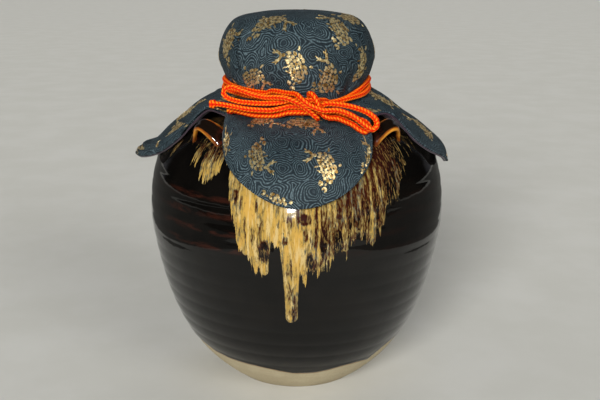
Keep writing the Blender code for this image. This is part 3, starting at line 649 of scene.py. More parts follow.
# The bow's route as the frame's source has it, from the left end to the right
ROUTE_END_LEFT = (
    (-70.5, -66.0, 255.0), (-61.0, -69.0, 255.0), (-50.0, -72.0, 253.5), (-39.5, -74.5, 252.0),
    (-29.0, -76.5, 251.5), (-20.5, -77.5, 251.5), (-12.5, -78.0, 253.0), (-6.0, -77.6, 254.5),
    (2.0, -77.5, 254.5), (10.0, -77.5, 254.5), (18.0, -77.5, 254.9),
)
ROUTE_LOOP_RIGHT_OUTER = (
    (24.0, -79.0, 257.0), (32.5, -81.5, 257.0), (41.0, -84.5, 256.0), (49.5, -88.0, 254.0),
    (56.0, -91.5, 251.5), (61.0, -94.0, 247.5), (62.0, -96.5, 243.0), (58.5, -98.0, 240.0),
    (53.0, -98.0, 243.0), (46.5, -96.0, 248.0), (39.5, -93.0, 251.5), (31.5, -90.0, 253.5),
)
ROUTE_WRAP_OUT = (
    (22.0, -88.0, 253.0), (16.0, -87.5, 254.5), (10.0, -87.0, 257.0), (5.0, -86.0, 260.5),
    (1.5, -82.5, 263.5), (-1.0, -78.5, 264.5), (-4.5, -75.0, 264.5), (-9.5, -71.0, 264.5),
    (-15.5, -66.5, 265.0), (-20.5, -61.5, 264.5),
)
ROUTE_LOOP_LEFT = (
    (22.5, -68.5, 258.0), (19.0, -72.5, 258.7), (16.0, -76.0, 259.3), (11.5, -77.5, 259.3),
    (3.0, -77.5, 259.3), (-6.0, -77.0, 259.3), (-14.0, -76.0, 257.5), (-24.5, -74.0, 256.5),
    (-35.0, -72.0, 256.5), (-45.5, -68.5, 257.0), (-54.0, -66.0, 259.0), (-58.5, -65.5, 262.5),
    (-57.5, -65.0, 266.5), (-51.5, -66.0, 268.5), (-43.5, -68.5, 266.0), (-34.0, -71.0, 263.0),
    (-24.5, -74.0, 261.5), (-17.0, -77.5, 262.0),
)
ROUTE_WRAP_IN = (
    (-9.0, -80.8, 261.8), (-2.5, -82.5, 259.7), (3.5, -82.5, 256.5), (9.0, -82.5, 252.5),
    (13.5, -82.5, 248.5), (16.0, -81.2, 246.2), (16.5, -77.8, 245.2), (14.7, -73.9, 246.6),
    (12.5, -72.0, 250.5), (11.0, -72.0, 256.5), (10.0, -73.0, 262.0), (10.5, -77.0, 264.8),
    (13.5, -81.0, 263.2), (16.5, -82.5, 258.0), (19.0, -82.5, 252.0), (22.0, -82.5, 248.0),
)
ROUTE_LOOP_RIGHT_INNER = (
    (26.5, -83.0, 246.5), (32.5, -86.0, 246.5), (38.5, -89.0, 244.5), (44.0, -92.0, 242.5),
    (48.5, -94.0, 239.5), (53.0, -94.5, 237.5), (56.5, -93.0, 240.0), (54.0, -89.5, 244.0),
    (46.5, -86.5, 246.5), (38.0, -83.0, 249.0), (29.5, -80.0, 250.5), (23.0, -78.0, 250.1),
)
ROUTE_END_RIGHT = (
    (16.0, -77.5, 249.9), (8.0, -77.5, 249.8), (0.0, -77.0, 249.8), (-8.0, -76.0, 249.3),
    (-16.0, -74.5, 247.0), (-24.5, -73.0, 246.5), (-33.5, -70.5, 246.5), (-42.5, -68.0, 248.0),
    (-50.5, -65.5, 249.5), (-56.5, -63.5, 250.5),
)
BRAID_PITCH = 2.9
BRAID_COLUMNS = 4
KNOB_LENGTH = 6.0
CORD_RING = 28


def stacked(azimuth):
    """0 where the band's two strands lie one outside the other, 1 where they stack."""
    near, far = rise(*STACK_LEFT, -azimuth), rise(*STACK_LEFT_BACK, -azimuth)
    return np.where(azimuth > 0, rise(*STACK_RIGHT, azimuth), far + (near - far) * STACK_LEFT_SHARE)


def band_height(azimuth):
    """The height of the middle of the band of cord."""
    up = rise(*BAND_RISE, np.abs(azimuth))
    left = BAND_LEFT_RISE * (1 - up) * rise(0, BAND_RISE[0], -azimuth)
    return SHOULDER_HEIGHT + BAND_FRONT + (BAND_BACK - BAND_FRONT) * up + left


def band_half(azimuth):
    """Half the height of the band of cord."""
    return (CORD + CORD_GAP) / 2 * (1 + stacked(azimuth))


def neck_winding():
    """Two turns round the neck, from the knot's left round the back, behind it and round again."""
    middle = TIE_RADIUS + GAP / 2 + BROCADE + CORD_GAP + CORD / 2
    apart = CORD + CORD_GAP
    end = 4 * math.pi - BACK_PASS
    steps = round((end - BACK_PASS) / (2 * math.pi) * TURN_POINTS)
    wound = np.linspace(BACK_PASS, end, steps + 1)
    azimuth = (math.pi - wound) % (2 * math.pi) - math.pi
    stack = stacked(azimuth)
    second = rise(*(2 * math.pi + side for side in STACK_LEFT), wound)
    angle = STACK_TILT - (STACK_TILT + math.pi / 2) * stack
    radius = middle + apart * second * np.cos(angle)
    return around(radius, azimuth, band_height(azimuth) + apart * (stack / 2 + second * np.sin(angle)))


def make_cord(material):
    """The tie as one braided tube: columns of slanted strands that meet in chevrons, bound at both ends."""
    route = np.vstack([
        ROUTE_END_LEFT, ROUTE_LOOP_RIGHT_OUTER, ROUTE_WRAP_OUT, neck_winding(),
        ROUTE_LOOP_LEFT, ROUTE_WRAP_IN, ROUTE_LOOP_RIGHT_INNER, ROUTE_END_RIGHT])
    line = even(smooth_line(route, 16), 0.3)
    at, run = lengths(line), directions(line)
    side = np.zeros_like(run)
    side[0] = np.cross(run[0], [0, 0, 1])
    side[0] /= np.linalg.norm(side[0])
    for i in range(1, len(run)):
        moved = side[i - 1] - run[i] * (side[i - 1] @ run[i])
        side[i] = moved / np.linalg.norm(moved)
    other = np.cross(run, side)
    turn, along = np.meshgrid(np.linspace(0, 2 * np.pi, CORD_RING, endpoint=False), at)
    column = turn / (2 * np.pi) * BRAID_COLUMNS
    index = np.floor(column)
    within = (column - index) * 2 - 1
    sign = np.where(index % 2 == 0, 1.0, -1.0)
    strand = along / BRAID_PITCH + 0.5 * within * sign
    cell = np.abs((strand % 1) * 2 - 1)
    lift = np.sqrt(np.clip(1 - cell ** 2, 0, 1)) * (1 - 0.7 * np.abs(within) ** 2.5)
    end = np.minimum(at, at[-1] - at)[:, None]
    knob = rise(KNOB_LENGTH, KNOB_LENGTH - 1.6, end) * rise(-0.5, 1.4, end)
    radius = CORD / 2 * (0.88 + 0.24 * lift) * (1 + 0.62 * knob)
    radius *= np.sqrt(np.clip(1 - (1 - np.clip(end / 1.8, 0, 1)) ** 2, 0.02, 1))
    points = line[:, None] + radius[..., None] * (
        np.cos(turn)[..., None] * side[:, None] + np.sin(turn)[..., None] * other[:, None])
    faces = tube_faces(len(line), CORD_RING, flip=True)
    cord = mesh_object("cord_braided", points.reshape(-1, 3) * MM, faces, material, "cover")
    attribute(cord, "lift", lift.ravel())
    attribute(cord, "thread", (strand * 4 + within * sign * 1.6).ravel())
    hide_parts("tie_cord")


# Cover

# The top: shares of its radius, and of its height over the tie
DRUM = (
    (0.0, 1.0), (0.25, 0.993), (0.45, 0.975), (0.75, 0.9), (0.895, 0.74), (0.985, 0.48), (1.0, 0.24), (0.95, 0.08),
    (TIE_RADIUS / DRUM_RADIUS, 0.0),
)
# The fall of the two side lobes: shares of the lobe's length, outwards and downwards
LEFT_LOBE = ((0.13, 0.065), (0.25, 0.12), (0.35, 0.2), (0.435, 0.31), (0.57, 0.43), (0.72, 0.525), (0.905, 0.66))
RIGHT_LOBE = ((0.115, 0.045), (0.23, 0.12), (0.345, 0.225), (0.45, 0.29), (0.6, 0.42), (0.7, 0.52), (0.69, 0.64))
STAND_OFF = (math.radians(25), math.radians(65))
CLOTH_COLUMNS = 640
DRUM_ROWS, BAND_ROWS, SKIRT_ROWS = 76, 9, 96
QUARTER = np.pi / 2
# Share of half a lobe's angle at which its round end turns into its straight side
LOBE_END = 0.6
# How high a lobe's edge is lifted over an ear's foot
EAR_LIFT = 9.5
# Distance between the four quarters of the flat pattern, laid side by side
PATTERN_SPACING = 300


def rest_line():
    """The line that a lobe's middle surface lies on, outwards: radius and height."""
    line = smooth_line([p for p in belly_line() if p[1] >= BELLY_HEIGHT and p[0] > NECK_RADIUS + 20], 6)[::-1]
    run = directions(line)
    out = np.stack([-run[:, 1], run[:, 0]], axis=1)
    share = ((line[:, :1] - NECK_RADIUS) / (BODY_RADIUS - NECK_RADIUS)) ** 2
    return line + out * (GAP + LINING + GAP / 2 + 0.6 + 2.4 * share)


def fall_tables(azimuths, falls):
    """Radius and height of the cover at each azimuth and length below the tie."""
    rest = rest_line()
    radius, height = np.zeros((2, len(azimuths), len(falls)))
    for i, azimuth in enumerate(azimuths):
        start = np.array([TIE_RADIUS, float(band_height(azimuth) - band_half(azimuth))])
        front = np.vstack([start, rest[rest[:, 0] > TIE_RADIUS + CORD * 0.75]])
        shares = np.array(LEFT_LOBE if azimuth < 0 else RIGHT_LOBE)
        side = np.vstack([start, start + shares * [LOBE_FALL, -LOBE_FALL]])
        side = smooth_line(side, 5)
        side[:, 1] = np.maximum(side[:, 1], np.interp(side[:, 0], rest[:, 0], rest[:, 1], left=-1e3))
        beside = 1 - rise(*STAND_OFF, abs(abs(azimuth) - QUARTER))
        for line, weight in ((front, 1 - beside), (side, beside)):
            at = lengths(line)
            for k, table in enumerate((radius, height)):
                extra = np.maximum(falls - at[-1], 0) * (line[-1, k] - line[-3, k]) / (at[-1] - at[-3])
                table[i] += weight * (np.interp(falls, at, line[:, k]) + extra)
    return radius, height


def ear_lift(azimuth, radius):
    """How far a lobe's edge is lifted where it passes over the foot of an ear."""
    away = np.min([np.abs(np.abs(azimuth) - math.radians(abs(ear))) for ear in EAR_AZIMUTHS.values()], axis=0)
    beside = 1 - rise(math.radians(9), math.radians(16), away)
    near = rise(EAR_FOOT_RADIUS - EAR_FOOT_WIDTH, EAR_FOOT_RADIUS - EAR_FOOT_WIDTH / 3, radius)
    outer = EAR_FOOT_RADIUS + EAR_FOOT_WIDTH / 2
    return EAR_LIFT * beside * near * (1 - rise(outer - 3.4, outer + 6.8, radius))


# Creases of the cloth: azimuth at the tie, its change in degrees a millimetre away from the tie, depth,
# half width and reach, above the tie and below it
CREASES_ABOVE = (
    (44, 0.0, 3.2, 6.5, 34), (-46, 0.05, 2.8, 6.0, 40), (-5, -0.05, 1.3, 3.5, 28), (13, 0.05, 2.2, 4.0, 26),
    (-22, 0.1, 1.2, 3.5, 22), (96, 0.1, 1.4, 5.0, 28), (-98, -0.1, 1.5, 5.0, 28), (140, 0.05, 2.0, 6.0, 30),
    (-142, 0.05, 2.0, 6.0, 30), (176, 0.1, 0.9, 4.0, 24),
)
CREASES_BELOW = (
    (-2, -0.3, 2.6, 4.0, 44), (24, 0.16, 2.2, 4.0, 34), (-26, -0.1, 1.6, 4.0, 28), (12, 0.05, 1.4, 3.0, 24),
    (38, 0.1, 1.6, 4.0, 28), (78, 0.1, 1.3, 4.5, 36), (104, -0.1, 1.2, 5.0, 34), (-82, -0.1, 1.3, 5.0, 36),
    (-112, 0.1, 1.2, 5.0, 34), (170, 0.25, 1.6, 4.5, 38), (-160, -0.1, 1.1, 4.0, 30),
)
# Where the front panel's edge lies over the side panels: azimuth, its lean, and the side of the upper panel
PANEL_FOLDS = ((-41.0, 0.1, 1), (56.0, 0.05, -1), (-132.0, 0.0, -1), (130.0, 0.0, 1))


def turned_from(azimuth, start):
    """Degrees from start to azimuth, from -180 to 180."""
    return (azimuth - start + 180) % 360 - 180


class Cover:
    """The cover's middle surface as a grid of rows from the centre to the hem, and its flat pattern."""

    def __init__(self):
        self.azimuths = np.linspace(-np.pi, np.pi, CLOTH_COLUMNS, endpoint=False)
        az = self.azimuths
        drum = even(smooth_line(DRUM, 10), 0.03)
        out = np.interp(np.linspace(0, 1, DRUM_ROWS), np.linspace(0, 1, len(drum)), drum[:, 0])
        up = np.interp(np.linspace(0, 1, DRUM_ROWS), np.linspace(0, 1, len(drum)), drum[:, 1])
        out[0] = 0.006
        low = band_height(az) + band_half(az)
        back = float(band_height(np.pi) + band_half(np.pi))
        tall = DRUM_TOP - (DRUM_TOP - back) * (1 - up)[:, None] + (low - back)[None] * (1 - up)[:, None] ** 3
        rows = [around(DRUM_RADIUS * out[:, None] + 0 * az, az + 0 * out[:, None], tall)]
        share = np.linspace(0, 1, BAND_ROWS + 1)[1:, None]
        tall = band_height(az) + band_half(az) * (1 - 2 * share)
        rows.append(around(TIE_RADIUS + 0 * tall, az + 0 * tall, tall))
        rows.append(self.skirt(az))
        self.points = np.concatenate(rows)
        self.tie_row = DRUM_ROWS + BAND_ROWS // 2
        self.hem_row = len(self.points) - 1
        self.soften()
        self.pleats()
        self.normals = grid_normals(self.points)
        self.quarters = self.flat()

    def skirt(self, az):
        """The rows of the lobes below the tie, which spread from the tie's azimuths to the hem's."""
        table_az = np.linspace(-np.pi, np.pi, 361)
        falls = np.linspace(0, LOBE_FALL * 1.02, 161)
        radius, height = fall_tables(table_az, falls)

        def look(table, at, fall):
            a = (at + np.pi) % (2 * np.pi) / (2 * np.pi) * 360
            f = np.clip(fall / falls[-1] * 160, 0, 159.999)
            i, j = np.floor(a).astype(int) % 360, np.floor(f).astype(int)
            u, v = a % 1, f % 1
            return ((table[i, j] * (1 - v) + table[i, j + 1] * v) * (1 - u)
                    + (table[i + 1, j] * (1 - v) + table[i + 1, j + 1] * v) * u)

        centre = np.round(az / QUARTER) * np.pi / 2
        local = az - centre
        share = np.abs(local) / (np.pi / 4)
        angle = np.clip(share / LOBE_END, 0, 1) * np.pi / 2
        down = np.clip((share - LOBE_END) / (1 - LOBE_END), 0, 1)
        in_lobe = share <= LOBE_END
        across = np.where(in_lobe, LOBE_HALF * np.sin(angle), LOBE_HALF + (NOTCH_HALF - LOBE_HALF) * down)
        fall = np.where(in_lobe, LOBE_WIDE_FALL + (LOBE_FALL - LOBE_WIDE_FALL) * np.cos(angle) ** 1.08,
                        LOBE_WIDE_FALL + (NOTCH_FALL - LOBE_WIDE_FALL) * down)
        reach = np.arcsin(np.clip(across / look(radius, centre, fall), 0, 1))
        reach = np.where(share > 0.999, np.pi / 4, reach) * np.sign(local)
        s = (np.linspace(0, 1, SKIRT_ROWS + 1)[1:] ** 1.05)[:, None]
        at = centre + local + (reach - local) * s
        at = (at + np.pi) % (2 * np.pi) - np.pi
        along = fall * s
        r, z = look(radius, at, along), look(height, at, along)
        from_side = np.abs(np.abs(at) - np.pi / 2)
        beside = 1 - rise(*STAND_OFF, from_side)
        z = z + 3.0 * beside * (along / LOBE_FALL) ** 2 * (0.5 + 0.5 * np.cos(from_side * 9)) + ear_lift(at, r)
        self.skirt_share = local / (np.pi / 4) + 0 * s
        self.hem_distance = fall * (1 - s)
        return around(r, at, z)

    def soften(self):
        """Rounds the kinks of the fall, with the hem and the tie kept."""
        p = self.points
        start = DRUM_ROWS - 14
        for _ in range(60):
            p[start:-1] = (p[start - 1:-2] + 2 * p[start:-1] + p[start + 1:]) / 4
        for _ in range(16):
            p[DRUM_ROWS:] = (np.roll(p[DRUM_ROWS:], 1, 1) + 2 * p[DRUM_ROWS:] + np.roll(p[DRUM_ROWS:], -1, 1)) / 4

    def pleats(self):
        """Gathers and creases at the tie, the parcel folds of the drum and the curled edge of the left lobe."""
        p, az = self.points, self.azimuths
        normal = grid_normals(p)
        away = lengths(p[:, CLOTH_COLUMNS // 2])
        from_tie = np.abs(away - away[self.tie_row])[:, None]
        upper = np.arange(len(p))[:, None] < self.tie_row
        gather = np.exp(-(from_tie / np.where(upper, 17.0, 24.0)) ** 2) * rise(3.5, 9.0, from_tie)
        move = 1.25 * gather * (0.75 * waves(az, 21, 14, 34) + 0.5 * waves(az, 8, 6, 12))
        around_tie = np.degrees(az)[None]
        for creases, mine in ((CREASES_ABOVE, upper), (CREASES_BELOW, ~upper)):
            for at, lean, depth, half, reach in creases:
                turn = turned_from(around_tie - at, lean * from_tie)
                x = np.radians(turn) * np.hypot(p[..., 0], p[..., 1])
                fade = rise(reach, reach * 0.35, from_tie) * rise(1.5, 7.0, from_tie)
                dip = np.exp(-(x / half) ** 2) - 0.35 * np.exp(-(x / half / 2.2) ** 2)
                move = move - mine * depth * fade * dip
        for fold, lean, sign in PANEL_FOLDS:
            turn = turned_from(around_tie - fold, -lean * from_tie)
            x = np.radians(turn) * DRUM_RADIUS * sign
            on_side = rise(DRUM_TOP - 2, DRUM_TOP - 18, p[..., 2]) * upper
            over = np.where(x > 0, 1.5 * np.exp(-np.maximum(x, 0) / 8.0), -1.6 * np.exp(np.minimum(x, 0) / 4.0))
            move = move + on_side * over
        tight = rise(5.5, 3.0, from_tie)
        self.points = p + normal * (move * (1 - tight) + self.curl())[..., None]

    def curl(self):
        """The raised double fold along the left lobe's front edge."""
        rows = len(self.points) - len(self.skirt_share)
        share = self.skirt_share[-1]
        az = self.azimuths
        mine = rise(-0.25, 0.05, share) * rise(1.0, 0.82, share) * (az < -np.pi / 4) * (az > -3 * np.pi / 4)
        inward = self.hem_distance
        fold = 2.3 * np.exp(-((inward - 3.4) / 1.7) ** 2) + 3.6 * np.exp(-((inward - 11.0) / 3.2) ** 2)
        return np.concatenate([np.zeros((rows, CLOTH_COLUMNS)), fold * mine])

    def flat(self):
        """Each quarter's flat pattern: its columns, x across and y down from the cloth's centre."""
        p, quarter = self.points, CLOTH_COLUMNS // 4
        down = np.cumsum(np.vstack([np.zeros(CLOTH_COLUMNS),
                                    np.linalg.norm(np.diff(p, axis=0), axis=2)]), axis=0)
        rim = DRUM_ROWS // 2
        made = []
        for centre in (-np.pi / 2, 0, np.pi / 2, np.pi):
            middle = (CLOTH_COLUMNS // 2 + round(centre / (2 * np.pi) * CLOTH_COLUMNS)) % CLOTH_COLUMNS
            columns = (middle + np.arange(-quarter // 2, quarter // 2 + 1)) % CLOTH_COLUMNS
            q = p[:, columns]
            local = np.linspace(-np.pi / 4, np.pi / 4, quarter + 1)
            step = np.linalg.norm(np.diff(q, axis=1), axis=2)
            arc = np.concatenate([np.zeros((len(p), 1)), np.cumsum(step, axis=1)], axis=1)
            arc -= arc[:, quarter // 2:quarter // 2 + 1]
            d = down[:, columns]
            edge = d[rim].mean()
            inside = np.minimum(d, edge)
            beyond = np.maximum(d - edge, 0)
            x = inside * np.sin(local)
            x = x + (arc - x) * rise(0, 40, beyond)
            y = -(inside * np.cos(local) + beyond)
            made.append((columns, x, y))
        return made


def layer(name, cover, near, far, material, every, bulge):
    """A closed sheet between two distances from the cover's middle surface, with a rolled hem and its flat
    pattern as UVs. Only every so many rows and columns are kept."""
    pick = np.union1d(np.arange(0, len(cover.points), every), cover.hem_row - np.arange(3))
    p, n = cover.points[pick][:, ::every], cover.normals[pick][:, ::every]
    rows, columns = p.shape[:2]
    roll = bulge * np.exp(-((cover.hem_row - pick) / 3.2) ** 2)[:, None, None]
    grid = np.concatenate([p + n * (far + np.sign(far) * roll), (p + n * near)[::-1]])
    faces = tube_faces(2 * rows, columns, far > near)
    made = mesh_object(name, grid.reshape(-1, 3) * MM, faces, material, "cover")
    # Each face takes the flat pattern of the quarter that its first column lies in
    quarter_of = {int(column): k for k, (where, _, _) in enumerate(cover.quarters) for column in where[:-1]}
    loops = np.zeros(len(made.data.loops), np.int32)
    made.data.loops.foreach_get("vertex_index", loops)
    face_of = np.repeat(np.arange(len(faces)), [len(face) for face in faces])
    row, column = loops // columns, loops % columns
    row = pick[np.where(row >= rows, 2 * rows - 1 - row, row)]
    first = np.where(face_of < len(faces) - 2, face_of % columns, 0)
    number = np.array([quarter_of[c * every] for c in range(columns)])[first]
    coords = np.zeros((len(loops), 2))
    for k, (where, x, y) in enumerate(cover.quarters):
        mine = number == k
        offset = np.minimum((column * every - int(where[0])) % CLOTH_COLUMNS, x.shape[1] - 1)[mine]
        coords[mine] = np.stack([x[row[mine], offset] + PATTERN_SPACING * k, y[row[mine], offset]], axis=1)
    made.data.uv_layers.new(name="cloth").data.foreach_set("uv", (coords * MM).astype(np.float32).ravel())
    return made


# Gold

# The carp: radius that its back is bent to, spacing of its scales and how large it is woven
CARP_ARCH = 12.5
SCALE_SPACING = 2.6
CARP_SIZE = 1.1
# How far a patch of gold stands off the brocade: its middle, its rim and the foot of its rim
GOLD_CROWN, GOLD_RIM, GOLD_FOOT = 0.42, 0.3, -0.1


def scale_patch(length, width):
    """A leaf-shaped scale, pointed towards the tail at -x."""
    t = np.linspace(0, 2 * np.pi, 8, endpoint=False)
    x, y = np.cos(t) * length / 2, np.sin(t) * np.abs(np.sin(t)) ** 0.4 * width / 2
    return np.stack([x, y * (1 + 0.3 * np.cos(t))], axis=1)


def stroke(line, width):
    """A tapered stroke along a line of points."""
    line = smooth_line(line, 3)
    run = directions(line)
    side = np.stack([-run[:, 1], run[:, 0]], axis=1)
    share = np.linspace(0, 1, len(line))[:, None]
    half = width / 2 * (0.55 + 0.9 * share - 1.25 * share ** 2)
    return np.concatenate([line + side * half, (line - side * half)[::-1]])


def ring_patch(radius, start, end, width):
    """A curved stroke along part of a circle."""
    t = np.linspace(start, end, 6)
    return stroke(np.stack([np.cos(t), np.sin(t)], axis=1) * radius, width)


def carp():
    """A woven carp as small separate patches: own drawing of a common motif. It bends round the origin,
    about 30 mm long, with the head towards +x and the tail towards -x."""
    random = np.random.default_rng(4)
    patches = []

    def place(shape, share, across, turn=0.0):
        """A shape set at a share of the way from the tail to the head, out from the middle line."""
        angle = math.radians(160 - 140 * share)
        spot = (CARP_ARCH + across) * np.array([math.cos(angle), math.sin(angle)]) - [0, CARP_ARCH * 0.86]
        facing = angle - math.pi / 2 + turn
        c, s = math.cos(facing), math.sin(facing)
        patches.append((shape @ np.array([[c, s], [-s, c]]) + spot) * CARP_SIZE)

    # Leaf-shaped scales in rows across the body
    halves = (1.9, 3.6, 5.0, 6.0, 6.5, 6.5, 6.0, 5.0, 3.4)
    for i, half in enumerate(halves):
        count = max(int(round(2 * half / SCALE_SPACING)), 1)
        for k in range(count):
            across = (k - (count - 1) / 2) * SCALE_SPACING + random.uniform(-0.25, 0.25)
            length, width = random.uniform(2.9, 3.4) * (1 + 0.065 * across), random.uniform(2.2, 2.6)
            share = 0.14 + 0.094 * i + random.uniform(-0.015, 0.015)
            place(scale_patch(length, width), share, across, random.uniform(-0.6, 0.6))
    # Lips, eye and two curled whiskers
    place(scale_patch(2.4, 1.6), 1.0, 0.4, 0.2)
    place(ring_patch(1.5, 0.2, 5.6, 0.9), 1.08, -2.6)
    place(ring_patch(1.7, 0.6, 5.4, 1.0) * [1, -1], 1.1, 2.4)
    place(stroke(((0, 0), (1.5, 0.3), (3.0, 1.2)), 1.0), 1.02, -4.6)
    # Tail: a narrow root and two branching strokes
    for turn, length, bend in ((0.55, 7.6, -1.6), (-0.35, 6.8, 1.5)):
        place(stroke([(0, 0), (-length * 0.5, bend), (-length, bend * 0.3)], 2.6), 0.09, 0.0, turn)
        for part, side in ((0.4, 1.0), (0.62, -1.0), (0.8, 1.0)):
            twig = [(0, 0), (-1.1, side * 0.9), (-2.3, side * 1.3)]
            place(stroke(twig, 1.2) + [-length * part, bend * 0.9], 0.09, 0.0, turn)
    # Fins: a leaf out from the back and short rays on the inner side
    place(scale_patch(2.2, 2.8), 0.62, 9.4)
    place(stroke([(0, 0), (-1.6, 0.5), (-3.2, 0.2)], 2.0), 0.34, 7.2, -0.9)
    for share in (0.4, 0.72):
        place(stroke([(0, 0), (-1.5, 0.4), (-3.0, 0.2)], 1.4), share, -6.6, 1.1)
    return patches


# Carp seen in the photograph: pixel, heading in degrees, whether it is mirrored, and how far back of the
# pixel its middle lies in millimetres
CARP_SEEN = (
    (258, 158, 114, 0, 0), (325, 165, -61, 0, 0), (370, 158, -115, 0, 0), (294, 65, -62, 0, 0),
    (328, 77, -100, 0, 0), (252, 80, 170, 1, 0), (364, 59, -105, 0, 0), (229, 41, -100, 1, 0),
    (272, 21, 180, 1, 0), (337, 27, -65, 0, 0), (262, 121, 178, 1, 0), (306, 124, 160, 1, 0),
    (276, 199, 95, 1, 10), (341, 197, 60, 0, 10), (224, 146, -70, 0, 0), (352, 119, 150, 1, 0),
    (187, 112, -120, 0, 0), (422, 127, -110, 0, 0), (236, 97, 100, 1, 0),
)
# Spacing of the carp elsewhere, across and down, and how far they keep from those seen
CARP_SPACING = (53.0, 44.0)
CARP_CLEARANCE = 34


def make_gold(cover, material):
    """The woven carp as thin raised patches that follow the brocade."""
    outer = cover.points + cover.normals * (GAP / 2 + BROCADE)
    trees = []
    for where, x, y in cover.quarters:
        count = len(where)
        i, j = np.arange(len(x) - 1)[:, None] * count, np.arange(count - 1)[None]
        quads = np.stack([i + j, i + j + 1, i + count + j + 1, i + count + j], axis=-1).reshape(-1, 4)
        flat = np.stack([x.ravel(), y.ravel(), 0 * x.ravel()], axis=1)
        solid = outer[:, where].reshape(-1, 3)
        normal = cover.normals[:, where].reshape(-1, 3)
        trees.append((BVHTree.FromPolygons(flat.tolist(), quads.tolist()), flat, solid, normal, quads,
                      BVHTree.FromPolygons(solid.tolist(), quads.tolist())))

    def on_cloth(number, x, y):
        """The place and normal on the cloth for a point of a quarter's flat pattern."""
        tree, flat, solid, normal, quads, _ = trees[number]
        hit, _, face, _ = tree.ray_cast(Vector((x, y, 5)), Vector((0, 0, -1)))
        if hit is None:
            return None
        a, b, c, d = quads[face]
        for three in ((a, b, c), (a, c, d)):
            corners = [Vector(flat[i]) for i in three]
            at = barycentric_transform(Vector((x, y, 0)), *corners, *[Vector(solid[i]) for i in three])
            weights = barycentric_transform(Vector((x, y, 0)), *corners, *Matrix.Identity(3))
            if min(weights) > -0.01:
                break
        out = barycentric_transform(Vector((x, y, 0)), *corners, *[Vector(normal[i]) for i in three])
        return np.array(at), np.array(out.normalized())

    camera = bpy.context.scene.camera
    placed = []
    for u, v, turn, mirrored, back in CARP_SEEN:
        across, up = (u - PICTURE_MIDDLE[0]) / FOCAL, (PICTURE_MIDDLE[1] - v) / FOCAL
        aim = camera.rotation_euler.to_matrix() @ Vector((across, up, -1)).normalized()
        best = None
        for number, (_, flat, solid, _, quads, tree) in enumerate(trees):
            hit, _, face, far = tree.ray_cast(camera.location * 1000, aim)
            if hit is not None and (best is None or far < best[0]):
                corners = quads[face][:3]
                at = barycentric_transform(hit, *[Vector(solid[i]) for i in corners],
                                           *[Vector(flat[i]) for i in corners])
                best = (far, number, at.x, at.y)
        if best:
            _, number, x, y = best
            facing = math.radians(turn)
            placed.append((number, x - back * math.cos(facing), y - back * math.sin(facing), facing, mirrored))
    seen = [(n, x, y) for n, x, y, _, _ in placed]
    for number in range(4):
        for row in range(1, 6):
            for k in range(-2, 3):
                x = (k + 0.5 * (row % 2)) * CARP_SPACING[0] + 7 * number - 10
                y = -row * CARP_SPACING[1] + 6 * (number % 2)
                near = any(n == number and math.hypot(a - x, b - y) < CARP_CLEARANCE for n, a, b in seen)
                if near or (number == 1 and y < -40):
                    continue
                placed.append((number, x, y, math.radians(70 + 155 * (k + row) + 40 * number), (k + row) % 2))
    drawing = carp()
    points, faces = [], []
    for number, x, y, turn, mirrored in placed:
        c, s = math.cos(turn), math.sin(turn)
        for patch in drawing:
            shape = patch * [1, -1] if mirrored else patch
            shape = shape @ np.array([[c, s], [-s, c]]) + [x, y]
            middle = on_cloth(number, *shape.mean(axis=0))
            rim = [on_cloth(number, *corner) for corner in shape]
            if middle is None or None in rim:
                continue
            start, count = len(points), len(rim)
            points.append(middle[0] + middle[1] * GOLD_CROWN)
            points += [at + out * off for off in (GOLD_RIM, GOLD_FOOT) for at, out in rim]
            for i in range(count):
                j = (i + 1) % count
                faces.append((start, start + 1 + i, start + 1 + j))
                faces.append((start + 1 + i, start + 1 + count + i, start + 1 + count + j, start + 1 + j))
    return mesh_object("cover_gold_carp", np.array(points) * MM, faces, material, "cover", smooth=False)


# The quilt's outline from the middle of its underside round to the middle of its top: radius and height
QUILT = (
    (0.5, 307.6), (45, 307.6), (55, 308.4), (58.6, 310.8), (57.5, 314.0), (52.0, 318.2), (40.0, 321.2),
    (22, 323.2), (0.5, 323.8),
)
QUILT_COLUMNS = 120


def make_wadding(material):
    """A round cotton quilt with a rounded edge, held between brocade and lining."""
    line = even(smooth_line(QUILT, 6), 1.8)
    az = np.linspace(-np.pi, np.pi, QUILT_COLUMNS, endpoint=False)
    tufts = 0.4 * np.cos(az * 12)[None] * rise(20, 50, line[:, :1])
    points = around(line[:, :1] + tufts, az + 0 * line[:, :1], line[:, 1:]) * MM
    faces = tube_faces(len(line), QUILT_COLUMNS)
    made = mesh_object("cover_quilt", points.reshape(-1, 3), faces, material, "cover")
    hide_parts("cover_wadding")


def make_cover():
    """Brocade and lining on either side of one surface, the gold on the brocade and the quilt between."""
    cover = Cover()
    half = GAP / 2
    brocade = layer("cover_brocade_cloth", cover, half, half + BROCADE, brocade_material(), 1, 0.45)
    gold = make_gold(cover, gold_material())
    lining = layer("cover_lining_cloth", cover, -half, -half - LINING, lining_material(), 2, 0.3)
    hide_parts("cover_brocade")
    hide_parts("cover_lining")
    make_wadding(cotton_material())


# Scene

# The photograph's camera: focal length and the picture's middle and width in pixels, the sensor's width in
# millimetres, place in metres and downward tilt in degrees
FOCAL = 820.0
PICTURE_MIDDLE = (296.7, 200.0)
PICTURE_WIDTH = 600
SENSOR = 36.0
CAMERA_PLACE = (0, -0.724, 0.355)
CAMERA_TILT = 15.33


def make_camera():
    """The camera as it was fitted to the photograph."""
    data = bpy.data.cameras.new("camera")
    data.sensor_width = SENSOR
    data.lens = FOCAL / PICTURE_WIDTH * SENSOR
    data.shift_x = 0.5 - PICTURE_MIDDLE[0] / PICTURE_WIDTH
    camera = bpy.data.objects.new("camera", data)
    camera.location = CAMERA_PLACE
    camera.rotation_euler = (math.radians(90 - CAMERA_TILT), 0, 0)
    bpy.context.scene.collection.objects.link(camera)
    bpy.context.scene.camera = camera
    bpy.context.view_layer.update()


